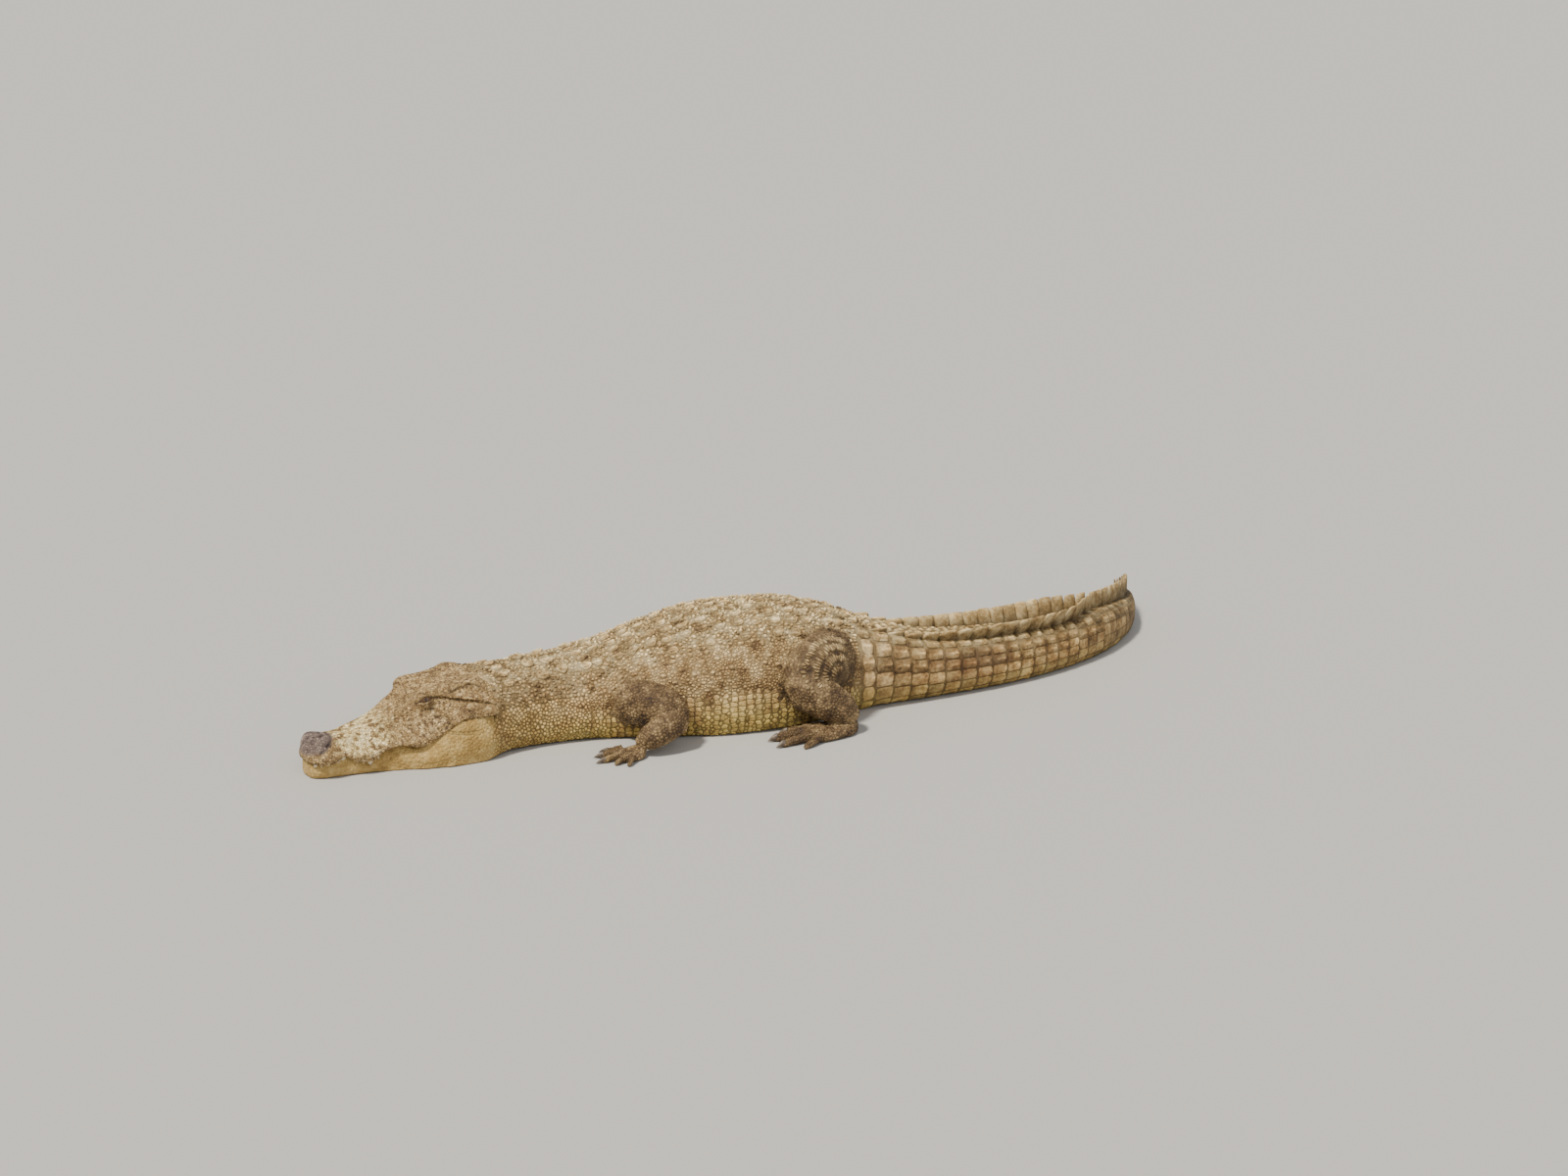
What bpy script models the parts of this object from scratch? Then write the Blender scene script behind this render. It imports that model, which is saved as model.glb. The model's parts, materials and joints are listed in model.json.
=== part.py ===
"""A life-size mugger crocodile lying on its belly, head low, mouth shut and tail curling away to its right.

Metres, +Z up, floor at z = 0. The trunk runs along X with the head towards -X, so the animal's left
flank faces -Y. Body pieces are lofts along one spine, parted by thin cuts. Limb pieces are lofts along
their bones, each cut back from the piece that carries it. The finished model is centred on the origin.
"""

import math

import bmesh
import bpy
import numpy as np
from mathutils import Matrix, Vector

# ---------------------------------------------------------------- driving sizes
TOTAL_LENGTH = 2.81
HEAD_LENGTH = 0.148 * TOTAL_LENGTH  # snout tip to the back edge of the skull table
BODY_LENGTH = TOTAL_LENGTH - HEAD_LENGTH  # back of the skull to the tail tip
GAP = 0.0003  # clearance between pieces that meet
CUTTER_GROWTH = 0.0004  # how much fatter a cutter is than the piece it stands for

# Places along the spine, measured tailwards from the back of the skull table.
HEAD_CUT = 0.10 * HEAD_LENGTH  # the head's nodes end this far behind the skull table
NECK_END = 0.27
TRUNK_END = 1.06
TAIL_CUTS = (1.42, 1.78, 2.10)
WHORLS = 36  # rings of tail scales from the trunk's end to the tip
CREST_MERGE = 17  # the whorl where the double crest becomes a single one
CREST_SPLAY = 14  # degrees that the double crest's plates lean outwards
CREST_LEAN = 0.35  # how far each plate's tip leans towards the tail's tip, beside its height

# Heading of the spine, in degrees from +X, at a few places along it: (place, heading).
HEADINGS = ((-0.10, 16.5), (0.05, 16.5), (0.25, 12), (0.45, 0), (0.95, 0), (1.25, 6), (1.65, 23.5),
            (2.05, 54), (2.40, 88))

# Height of the tips of the tail's crest: (place, height).
CREST_LINE = ((1.06, 0.196), (1.20, 0.178), (1.45, 0.172), (1.75, 0.172), (2.00, 0.156), (2.20, 0.120),
              (2.40, 0.046))
CREST_LEAST = 0.007  # the crest stands at least this far above the skin

# Body sections: (place, half width, height of the back, squareness above and below the widest level).
BODY_SECTIONS = (
    (0.02, 0.144, 0.196, 2.4, 3.2),
    (0.12, 0.136, 0.192, 2.3, 3.2),
    (0.24, 0.148, 0.193, 2.3, 3.4),
    (0.36, 0.170, 0.208, 2.3, 4.0),
    (0.52, 0.208, 0.254, 2.3, 4.8),
    (0.68, 0.230, 0.283, 2.3, 5.0),
    (0.82, 0.222, 0.284, 2.3, 4.6),
    (0.95, 0.184, 0.262, 2.4, 3.6),
    (1.08, 0.140, 0.210, 3.0, 2.6),
    (1.25, 0.116, 0.160, 3.2, 2.4),
    (1.50, 0.092, 0.140, 3.4, 2.5),
    (1.80, 0.064, 0.126, 3.2, 2.5),
    (2.10, 0.036, 0.092, 2.8, 2.5),
    (2.28, 0.018, 0.060, 2.4, 2.4),
    (2.394, 0.004, 0.020, 2.0, 2.0),
)
WIDEST_AT = 0.42  # height of a section's widest level, as a share of its full height
BELLY_SINK = 0.08  # share of the height by which a section would dip below the floor, to rest on a flat
RING_POINTS = 28
TAIL_POINTS = 16

# Head outline, in shares of HEAD_LENGTH. u is 0 at the back of the skull table and 1 at the snout tip.
# (u, cheek half width, cheek height, table half width, table height, midline height)
SKULL_SECTIONS = (
    (-0.10, 0.326, 0.216, 0.215, 0.430, 0.446),
    (-0.04, 0.328, 0.220, 0.208, 0.440, 0.448),
    (0.00, 0.326, 0.220, 0.198, 0.444, 0.444),
    (0.12, 0.312, 0.212, 0.186, 0.438, 0.436),
    (0.24, 0.288, 0.196, 0.172, 0.420, 0.412),
    (0.34, 0.260, 0.180, 0.148, 0.386, 0.370),
    (0.42, 0.238, 0.166, 0.120, 0.334, 0.328),
    (0.52, 0.210, 0.152, 0.100, 0.284, 0.288),
    (0.62, 0.190, 0.138, 0.096, 0.248, 0.258),
    (0.72, 0.174, 0.126, 0.092, 0.224, 0.236),
    (0.80, 0.148, 0.130, 0.082, 0.214, 0.224),
    (0.88, 0.154, 0.130, 0.084, 0.216, 0.226),
    (0.94, 0.136, 0.128, 0.074, 0.216, 0.226),
    (0.98, 0.094, 0.128, 0.050, 0.200, 0.208),
    (1.00, 0.034, 0.130, 0.018, 0.170, 0.174),
)
# The lip line: (u, height). It dips in two waves, with a notch between them for the long lower tooth.
LIP_LINE = (
    (-0.10, 0.264),
    (-0.04, 0.266),
    (0.06, 0.272),
    (0.13, 0.266),
    (0.22, 0.216),
    (0.30, 0.160),
    (0.38, 0.132),
    (0.48, 0.152),
    (0.57, 0.130),
    (0.67, 0.078),
    (0.74, 0.092),
    (0.80, 0.122),
    (0.86, 0.098),
    (0.93, 0.090),
    (1.00, 0.104),
)
# The lower jaw's half width: (u, at the lip, at its widest, on the floor).
JAW_WIDTHS = (
    (-0.10, 0.308, 0.348, 0.308),
    (0.02, 0.308, 0.356, 0.320),
    (0.14, 0.294, 0.346, 0.314),
    (0.26, 0.264, 0.316, 0.290),
    (0.38, 0.216, 0.266, 0.248),
    (0.52, 0.154, 0.198, 0.186),
    (0.66, 0.140, 0.162, 0.146),
    (0.80, 0.124, 0.138, 0.112),
    (0.90, 0.108, 0.120, 0.090),
    (0.96, 0.080, 0.088, 0.064),
    (0.985, 0.038, 0.042, 0.030),
)
HEAD_HALF_POINTS = 12  # points on one half of a skull section
JAW_HALF_POINTS = 9
HEAD_RINGS = 22
MOUTH_GAP = 0.0012

EYE_U, EYE_SIDE, EYE_HEIGHT = 0.300, 0.162, 0.376
EYE_RADIUS = 0.019

# Swellings on the skull: (u, side, height) of the centre, radius and how far it stands out, as shares of
# HEAD_LENGTH. Each is mirrored to the other side.
SKULL_SWELLINGS = (
    (0.285, 0.150, 0.410, 0.080, 0.016),  # the brow over each eye
    (0.010, 0.195, 0.430, 0.060, 0.018),  # the back corner of the skull table
    (0.930, 0.045, 0.225, 0.060, 0.020),  # the raised disc round the nostrils
    (0.440, 0.115, 0.320, 0.070, 0.008),  # the ridge in front of the eye
    (0.390, 0.235, 0.150, 0.100, 0.010),  # the cheek over the rear wave of the lip
    (0.670, 0.168, 0.110, 0.080, 0.010),  # the snout over the front wave of the lip
)

# Teeth: the share of HEAD_LENGTH that each stands at, and its length and radius in metres.
TOOTH_COUNT = 12
BIG_TOOTH = 7
TOOTH_SIDES = 5
UPPER_TEETH = tuple(
    (0.955 - 0.040 * i, 0.010 + 0.007 * math.exp(-(((i - BIG_TOOTH) / 1.5) ** 2)), 0.0042)
    for i in range(TOOTH_COUNT)
)

# Limbs, in metres: places along the spine, sideways from it and above the floor.
ARM_BONES = {
    "shoulder": (0.405, 0.130, 0.096),
    "elbow": (0.520, 0.255, 0.082),
    "wrist": (0.405, 0.288, 0.034),
}
HAND_HEADING = 14  # degrees that the hand turns out from straight ahead
LEG_BONES = {
    "hip": (0.945, 0.090, 0.146),
    "knee": (0.822, 0.226, 0.130),
    "ankle": (0.958, 0.268, 0.046),
}
FOOT_HEADING = 8

# (length of palm, half width at wrist, half width at knuckles, height)
HAND_PALM = (0.068, 0.028, 0.044, 0.034)
FOOT_PALM = (0.138, 0.034, 0.054, 0.048)
# Toes from the inside out: (angle in degrees, length, radius, has a claw)
HAND_TOES = ((-42, 0.040, 0.0085, True), (-20, 0.054, 0.0095, True), (0, 0.060, 0.0095, True),
             (20, 0.050, 0.0080, False), (42, 0.036, 0.0070, False))
FOOT_TOES = ((-20, 0.090, 0.0120, True), (-5, 0.122, 0.0125, True), (10, 0.126, 0.0120, True),
             (26, 0.098, 0.0095, False))
CLAW_LENGTH = 0.021
CLAW_SHARE = 0.72  # claw radius beside the toe's
# Radii of a limb at its root, middle and end: upper length, then lower length.
ARM_RADII = ((0.062, 0.057, 0.047), (0.041, 0.037, 0.027))
LEG_RADII = ((0.090, 0.082, 0.064), (0.057, 0.052, 0.036))
LIMB_POINTS = 12
PALM_POINTS = 10
TOE_POINTS = 6
SHARP_ANGLE = 50  # degrees between faces from which an edge is drawn sharp

COLOURS = {
    "hide_back": (0.21, 0.175, 0.125, 1),
    "hide_leg": (0.13, 0.105, 0.080, 1),
    "hide_jaw": (0.42, 0.33, 0.21, 1),
    "claw": (0.05, 0.042, 0.035, 1),
    "eye": (0.06, 0.05, 0.02, 1),
}


# ---------------------------------------------------------------- helpers
def curve(stations, column):
    """A smooth function of place through one column of a table of stations, without overshoot."""
    places = np.array([row[0] for row in stations], float)
    values = np.array([row[column] for row in stations], float)
    order = np.argsort(places)
    places, values = places[order], values[order]
    steps = np.diff(places)
    slopes = np.diff(values) / steps
    tangents = np.zeros(len(places))
    for i in range(1, len(places) - 1):
        if slopes[i - 1] * slopes[i] > 0:
            first, second = 2 * steps[i] + steps[i - 1], steps[i] + 2 * steps[i - 1]
            tangents[i] = (first + second) / (first / slopes[i - 1] + second / slopes[i])
    tangents[0], tangents[-1] = slopes[0], slopes[-1]

    def value(place):
        place = min(max(place, places[0]), places[-1])
        i = min(int(np.searchsorted(places, place, side="right")) - 1, len(steps) - 1)
        h = steps[i]
        t = (place - places[i]) / h
        return float(
            values[i] * (2 * t**3 - 3 * t**2 + 1)
            + tangents[i] * h * (t**3 - 2 * t**2 + t)
            + values[i + 1] * (3 * t**2 - 2 * t**3)
            + tangents[i + 1] * h * (t**3 - t**2)
        )

    return value


def spline(points, count):
    """Evenly spread points on a centripetal-like smooth line through the given ones."""
    points = [Vector(p) for p in points]
    ends = [2 * points[0] - points[1], *points, 2 * points[-1] - points[-2]]
    dense = []
    for a, b, c, d in zip(ends, ends[1:], ends[2:], ends[3:]):
        for k in range(12):
            t = k / 12
            dense.append(0.5 * ((2 * b) + (c - a) * t + (2 * a - 5 * b + 4 * c - d) * t**2
                                + (3 * b - a - 3 * c + d) * t**3))
    dense.append(points[-1])
    lengths = np.concatenate([[0], np.cumsum([(q - p).length for p, q in zip(dense, dense[1:])])])
    found = []
    for target in np.linspace(0, lengths[-1], count):
        i = min(int(np.searchsorted(lengths, target, side="right")) - 1, len(dense) - 2)
        share = (target - lengths[i]) / (lengths[i + 1] - lengths[i])
        found.append(dense[i].lerp(dense[i + 1], share))
    return found


def new_collection(name):
    collection = bpy.data.collections.new(name)
    bpy.context.scene.collection.children.link(collection)
    return collection


def material(name):
    """The Principled material of that name from COLOURS, made once."""
    found = bpy.data.materials.get(name)
    if found is None:
        found = bpy.data.materials.new(name)
        found.use_nodes = True
        shader = found.node_tree.nodes["Principled BSDF"]
        shader.inputs["Base Color"].default_value = COLOURS[name]
        shader.inputs["Roughness"].default_value = 0.2 if name == "eye" else 0.75
        shader.inputs["Metallic"].default_value = 0.0
    return found


def as_object(name, mesh_builder, colour, collection):
    """A new object from a bmesh, with its material."""
    bmesh.ops.recalc_face_normals(mesh_builder, faces=mesh_builder.faces)
    mesh = bpy.data.meshes.new(name)
    mesh_builder.to_mesh(mesh)
    mesh_builder.free()
    mesh.materials.append(material(colour))
    mesh.shade_smooth()
    mesh.set_sharp_from_angle(angle=math.radians(SHARP_ANGLE))
    piece = bpy.data.objects.new(name, mesh)
    collection.objects.link(piece)
    return piece


def loft(rings):
    """A closed bmesh through rings of equally many points, capped flat at both ends."""
    build = bmesh.new()
    loops = [[build.verts.new(point) for point in ring] for ring in rings]
    for near, far in zip(loops, loops[1:]):
        for i in range(len(near)):
            j = (i + 1) % len(near)
            build.faces.new((near[i], near[j], far[j], far[i]))
    build.faces.new(loops[0])
    build.faces.new(loops[-1])
    return build


def as_cutter(piece):
    piece.hide_render = True
    piece.display_type = "WIRE"
    return piece


def boolean(piece, other, operation):
    modifier = piece.modifiers.new(operation.lower(), "BOOLEAN")
    modifier.operation = operation
    modifier.solver = "EXACT"
    modifier.object = other


# ---------------------------------------------------------------- spine
heading_at = curve(HEADINGS, 1)
SPINE_STEP = 0.005
SPINE_START = -0.5


def spine_table():
    """Points of the spine every SPINE_STEP, found by adding up its headings."""
    places = np.arange(SPINE_START, BODY_LENGTH + 2 * SPINE_STEP, SPINE_STEP)
    angles = np.radians([heading_at(place) for place in places])
    xs = np.concatenate([[0], np.cumsum(np.cos(angles[:-1]) * SPINE_STEP)])
    ys = np.concatenate([[0], np.cumsum(np.sin(angles[:-1]) * SPINE_STEP)])
    return places, xs, ys


SPINE_PLACES, SPINE_X, SPINE_Y = spine_table()


def on_body(place, side, height):
    """The point beside the spine at that place: side is positive to the animal's left (-Y)."""
    x = np.interp(place, SPINE_PLACES, SPINE_X)
    y = np.interp(place, SPINE_PLACES, SPINE_Y)
    angle = math.radians(heading_at(place))
    return Vector((x + side * math.sin(angle), y - side * math.cos(angle), height))


# ---------------------------------------------------------------- neck, trunk and tail
half_width_at = curve(BODY_SECTIONS, 1)
back_height_at = curve(BODY_SECTIONS, 2)
upper_squareness_at = curve(BODY_SECTIONS, 3)
lower_squareness_at = curve(BODY_SECTIONS, 4)
crest_line_at = curve(CREST_LINE, 1)


def super_power(value, power):
    return math.copysign(abs(value) ** power, value)


def body_ring(place, grow=0.0, points=RING_POINTS, crest_points=()):
    """One section of the body. Crest points rise to the crest line, lean back and splay outwards."""
    half, top = half_width_at(place) + grow, back_height_at(place) + grow
    middle = WIDEST_AT * top
    bottom = -BELLY_SINK * top - grow
    splay = math.tan(math.radians(CREST_SPLAY))
    ring = []
    for k in range(points):
        angle = 2 * math.pi * k / points
        above = math.sin(angle) > 0
        power = 2 / (upper_squareness_at(place) if above else lower_squareness_at(place))
        side = half * super_power(math.cos(angle), power)
        height = middle + (top - middle if above else middle - bottom) * super_power(math.sin(angle), power)
        rise = 0.0
        if k in crest_points:
            rise = max(crest_line_at(place) - height, CREST_LEAST)
            side += 0.0 if abs(side) < 1e-6 else math.copysign(splay * rise, side)
        ring.append(on_body(place + CREST_LEAN * rise, side, max(height + rise, -grow)))
    return ring


def whorl_start(whorl):
    """Whorls shorten evenly towards the tip."""
    share = whorl / WHORLS
    return TRUNK_END + (BODY_LENGTH - TRUNK_END) * (1.35 * share - 0.35 * share**2)


def tail_rings(start, end):
    """Two rings to a whorl, the rear one carrying the crest, between two places on the tail."""
    top = TAIL_POINTS // 4
    rings = [body_ring(start + GAP / 2, points=TAIL_POINTS)]
    for whorl in range(WHORLS):
        first, last = whorl_start(whorl), whorl_start(whorl + 1)
        crest = (top - 1, top + 1) if whorl < CREST_MERGE else (top,)
        for share, crest_points in ((0.22, ()), (0.88, crest)):
            place = first + share * (last - first)
            if start + 0.004 < place < end - 0.004:
                rings.append(body_ring(place, 0.0, TAIL_POINTS, crest_points))
    rings.append(body_ring(end - GAP / 2, points=TAIL_POINTS))
    return rings


def neck_places():
    return np.linspace(HEAD_CUT + GAP / 2, NECK_END - GAP / 2, 6)


def trunk_places():
    return np.linspace(NECK_END + GAP / 2, TRUNK_END - GAP / 2, 17)


def make_body(parts):
    as_object("neck", loft([body_ring(p) for p in neck_places()]), "hide_back", parts)
    as_object("trunk", loft([body_ring(p) for p in trunk_places()]), "hide_back", parts)
    edges = (TRUNK_END, *TAIL_CUTS, BODY_LENGTH)
    for i, (start, end) in enumerate(zip(edges, edges[1:])):
        as_object(f"tail_{i + 1}", loft(tail_rings(start, end)), "hide_back", parts)


def make_trunk_cutter(cutters):
    """The neck and trunk a hair fatter, which cuts back the limbs that grow from them."""
    places = (*neck_places()[-3:], *trunk_places(), TRUNK_END + 0.02, TRUNK_END + 0.1)
    rings = [body_ring(p, grow=CUTTER_GROWTH) for p in places]
    return as_cutter(as_object("cut_trunk", loft(rings), "hide_back", cutters))


# ---------------------------------------------------------------- head
lip_height_at = curve(LIP_LINE, 1)
jaw_lip_at, jaw_width_at, jaw_base_at = (curve(JAW_WIDTHS, column) for column in range(1, 4))
cheek_width_at, cheek_height_at, table_width_at, table_height_at, midline_at = (
    curve(SKULL_SECTIONS, column) for column in range(1, 6)
)


def on_head(u, side, height):
    """A point in shares of HEAD_LENGTH, in the frame of the head."""
    angle = math.radians(HEADINGS[0][1])
    start = on_body(0.0, 0.0, 0.0)
    along, across = -u * HEAD_LENGTH, side * HEAD_LENGTH
    return Vector((
        start.x + along * math.cos(angle) + across * math.sin(angle),
        start.y + along * math.sin(angle) - across * math.cos(angle),
        height * HEAD_LENGTH,
    ))


def swollen(u, side, height):
    """A skull point pushed out by the swellings near it."""
    point = Vector((u, side, height))
    for centre_u, centre_side, centre_height, radius, rise in SKULL_SWELLINGS:
        for mirror in (1, -1):
            away = (point - Vector((centre_u, mirror * centre_side, centre_height))).length
            weight = math.exp(-((away / radius) ** 2))
            out = Vector((0, 0.5 * mirror, 1)).normalized() if centre_height > 0.2 else Vector((0, mirror, 0))
            point = point + out * rise * weight
    return point


def skull_ring(u):
    """Half a section from the crown round the cheek and lip to the palate, then its mirror image."""
    cheek, cheek_z = cheek_width_at(u), cheek_height_at(u)
    table, table_z, middle_z = table_width_at(u), table_height_at(u), midline_at(u)
    lip_z = lip_height_at(u)
    cheek_z = max(cheek_z, lip_z + 0.012)
    outline = [
        (0, middle_z),
        (0.55 * table, 0.5 * (middle_z + table_z) + 0.002),
        (table, table_z),
        (table + 0.32 * (cheek - table), table_z - 0.42 * (table_z - cheek_z)),
        (cheek, cheek_z),
        (0.99 * cheek, lip_z + 0.35 * (cheek_z - lip_z)),
        (0.965 * cheek, lip_z),
        (0.60 * cheek, lip_z + 0.006),
        (0, lip_z + 0.006),
    ]
    half = spline([(0, side, height) for side, height in outline], HEAD_HALF_POINTS)
    left = [swollen(u, p.y, p.z) for p in half]
    right = [Vector((p.x, -p.y, p.z)) for p in reversed(left[1:-1])]
    return [on_head(*p) for p in left + right]


def jaw_ring(u):
    """Half a section of the lower jaw from the tongue's line over the lip and down to the floor."""
    lip, widest, base = jaw_lip_at(u), jaw_width_at(u), jaw_base_at(u)
    top = lip_height_at(u) - MOUTH_GAP / HEAD_LENGTH
    outline = [
        (0, top),
        (0.6 * lip, top),
        (lip, top),
        (0.5 * (lip + widest), 0.80 * top),
        (widest, 0.42 * top),
        (0.5 * (base + widest), 0.10 * top),
        (base, 0.0),
        (0, 0.0),
    ]
    left = spline([(0, side, height) for side, height in outline], JAW_HALF_POINTS)
    left = [Vector((u, p.y, min(max(p.z, 0.0), top))) for p in left]
    right = [Vector((p.x, -p.y, p.z)) for p in reversed(left[1:-1])]
    return [on_head(*p) for p in left + right]


def head_places():
    """Ring places from the neck to the tip, closer together where the snout rounds off."""
    shares = np.linspace(0, 1, HEAD_RINGS)
    eased = 1 - (1 - shares) ** 1.25
    back = -HEAD_CUT / HEAD_LENGTH + GAP / 2 / HEAD_LENGTH
    return back + (1.0 - back) * eased


def tooth(u, side, root_height, length, radius, down):
    """A cone whose root is buried in the jaw."""
    build = bmesh.new()
    bmesh.ops.create_cone(build, cap_ends=True, segments=TOOTH_SIDES, radius1=radius, radius2=radius * 0.15,
                          depth=length)
    flip = Matrix.Rotation(math.pi, 4, "X") if down else Matrix.Identity(4)
    centre = on_head(u, side, 0)
    lift = root_height - length / 2 if down else root_height + length / 2
    build.transform(Matrix.Translation((centre.x, centre.y, lift)) @ flip)
    return build


def add_teeth(jaw, name, teeth, width_at, share, down, cutters):
    """Joins a row of teeth to each side of a jaw."""
    for mirror in (1, -1):
        row = bmesh.new()
        for u, length, radius in teeth:
            buried = 0.006
            root = lip_height_at(u) * HEAD_LENGTH + (buried if down else -buried)
            side = mirror * (width_at(u) * share)
            single = tooth(u, side, root, length + buried, radius, down)
            mesh = bpy.data.meshes.new("tooth")
            single.to_mesh(mesh)
            single.free()
            row.from_mesh(mesh)
            bpy.data.meshes.remove(mesh)
        joined = as_cutter(as_object(f"{name}_{'left' if mirror > 0 else 'right'}", row, "claw", cutters))
        boolean(jaw, joined, "UNION")


def make_head(parts, cutters):
    upper = as_object("upper_head", loft([skull_ring(u) for u in head_places()]), "hide_back", parts)
    as_object("lower_jaw", loft([jaw_ring(u) for u in head_places()[:-1]]), "hide_jaw", parts)
    add_teeth(upper, "upper_teeth", UPPER_TEETH, cheek_width_at, 0.935, True, cutters)
    for mirror, side_name in ((1, "left"), (-1, "right")):
        centre = on_head(EYE_U, mirror * EYE_SIDE, EYE_HEIGHT)
        for name, radius, collection in (
            (f"eye_{side_name}", EYE_RADIUS, parts),
            (f"socket_{side_name}", EYE_RADIUS + CUTTER_GROWTH, cutters),
        ):
            build = bmesh.new()
            bmesh.ops.create_uvsphere(build, u_segments=12, v_segments=8, radius=radius)
            build.transform(Matrix.Translation(centre))
            ball = as_object(name, build, "eye", collection)
            if collection is cutters:
                boolean(upper, as_cutter(ball), "DIFFERENCE")


# ---------------------------------------------------------------- limbs
def limb_loft(points, radii, grow=0.0, flatten=1.0, floor=0.0):
    """A limb length of round sections along a smooth line, with rounded ends, kept above the floor."""
    count = 8
    line = spline(points, count)
    radius_at = curve([(i / (len(radii) - 1), r) for i, r in enumerate(radii)], 1)
    rings = []
    for i, point in enumerate(line):
        share = i / (count - 1)
        ahead = (line[min(i + 1, count - 1)] - line[max(i - 1, 0)]).normalized()
        across = ahead.cross(Vector((0, 0, 1))).normalized()
        up = across.cross(ahead)
        radius = radius_at(share) + grow
        end = 0.45 if i in (0, count - 1) else 1.0
        shift = ahead * radius * 0.35 * (1 if i == count - 1 else -1 if i == 0 else 0)
        ring = []
        for k in range(LIMB_POINTS):
            angle = 2 * math.pi * k / LIMB_POINTS
            p = point + shift + radius * end * (across * math.cos(angle) + up * math.sin(angle) * flatten)
            ring.append(Vector((p.x, p.y, max(p.z, floor - grow))))
        rings.append(ring)
    return loft(rings)


def palm(wrist, heading, sizes, grow=0.0):
    """The flat of a hand or foot, from behind the wrist to the knuckles, lying on the floor."""
    length, back_half, front_half, height = sizes
    rings = []
    count = 6
    for i in range(count):
        share = i / (count - 1)
        rounding = math.sqrt(max(0.08, 1 - (1 - share) ** 6 - 0.55 * share**10))
        half = (back_half + (front_half - back_half) * share) * rounding
        top = height * (1 - 0.55 * share) * (0.55 + 0.45 * rounding)
        ring = []
        for k in range(PALM_POINTS):
            angle = 2 * math.pi * k / PALM_POINTS
            side = (half + grow) * math.cos(angle)
            rise = 0.4 * top + (0.6 * top + grow) * super_power(math.sin(angle), 0.8)
            along = -0.012 + share * length
            ring.append(limb_point(wrist, heading, along, side, max(rise, 0.0)))
        rings.append(ring)
    return loft(rings)


def limb_point(wrist, heading, along, side, height):
    """A point ahead of the wrist and sideways from the hand's line, as (along, side, height)."""
    angle = math.radians(heading)
    return Vector((
        wrist.x - along * math.cos(angle) + side * math.sin(angle),
        wrist.y - along * math.sin(angle) - side * math.cos(angle),
        height,
    ))


def toe_and_claw(name, knuckle, heading, length, radius, clawed, parts, cutters):
    """A toe that arches down to the floor and ends flat, and the claw that stands off that end."""
    axis = Vector((-math.cos(math.radians(heading)), -math.sin(math.radians(heading)), 0))
    across = Vector((-axis.y, axis.x, 0))
    rings = []
    for share in (0.0, 0.28, 0.52, 0.76, 1.0):
        thick = radius * (1.15 - 0.30 * share + 0.12 * math.exp(-(((share - 0.5) / 0.12) ** 2)))
        centre = knuckle + axis * length * share
        centre.z = thick * 0.96 + 0.010 * (1 - share) ** 1.5
        ring = []
        for k in range(TOE_POINTS):
            angle = 2 * math.pi * (k + 0.5) / TOE_POINTS
            p = centre + across * thick * math.cos(angle) + Vector((0, 0, thick * math.sin(angle)))
            ring.append(Vector((p.x, p.y, max(p.z, 0.0))))
        rings.append(ring)
    toe = as_cutter(as_object(f"toe_{name}", loft(rings), "hide_leg", cutters))
    if clawed:
        tip = knuckle + axis * (length + GAP)
        base = radius * 0.85 * CLAW_SHARE
        claw_rings = []
        for share, thin in ((0.0, 1.0), (0.3, 0.88), (0.6, 0.62), (0.85, 0.32), (1.0, 0.10)):
            centre = tip + axis * CLAW_LENGTH * share
            centre.z = radius * 0.98 - (radius * 0.75) * share**2
            claw_rings.append([
                centre + across * base * thin * 0.8 * math.cos(a) + Vector((0, 0, base * thin * math.sin(a)))
                for a in (2 * math.pi * k / TOE_POINTS for k in range(TOE_POINTS))
            ])
        as_object(f"claw_{name}", loft(claw_rings), "claw", parts)
    return toe


def make_extremity(name, wrist, heading, sizes, toes, mirror, parts, cutters):
    """A hand or foot: palm and toes joined, with separate claws."""
    piece = as_object(name, palm(wrist, heading, sizes), "hide_leg", parts)
    for i, (angle, length, radius, clawed) in enumerate(toes):
        spread = angle / 45
        knuckle = limb_point(wrist, heading, sizes[0] * (0.62 - 0.12 * abs(spread)),
                             mirror * spread * sizes[2] * 0.80, 0.0)
        turn = heading + mirror * angle
        boolean(piece, toe_and_claw(f"{name}_{i + 1}", knuckle, turn, length, radius, clawed, parts, cutters),
                "UNION")
    return piece


def bone(place, mirror):
    return on_body(place[0], mirror * place[1], place[2])


def make_limb(names, bones, radii, heading, sizes, toes, mirror, trunk_cutter, parts, cutters):
    """One limb: upper length, lower length and hand or foot, each cut back from what carries it."""
    root, middle, wrist = (bone(place, mirror) for place in bones.values())
    outward = Vector((0, -mirror * 0.02, 0))
    upper_line = [root, root.lerp(middle, 0.5) + outward + Vector((0, 0, 0.012)), middle]
    lower_line = [middle, middle.lerp(wrist, 0.5) + outward * 0.5, wrist]
    upper = as_object(names[0], limb_loft(upper_line, radii[0]), "hide_leg", parts)
    lower = as_object(names[1], limb_loft(lower_line, radii[1]), "hide_leg", parts)
    upper_cut = as_cutter(as_object(f"cut_{names[0]}", limb_loft(upper_line, radii[0], CUTTER_GROWTH),
                                    "hide_leg", cutters))
    lower_cut = as_cutter(as_object(f"cut_{names[1]}", limb_loft(lower_line, radii[1], CUTTER_GROWTH),
                                    "hide_leg", cutters))
    end = make_extremity(names[2], wrist, mirror * heading, sizes, toes, mirror, parts, cutters)
    for piece, knives in ((upper, (trunk_cutter,)), (lower, (upper_cut, trunk_cutter)),
                          (end, (lower_cut, upper_cut, trunk_cutter))):
        for knife in knives:
            boolean(piece, knife, "DIFFERENCE")


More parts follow.
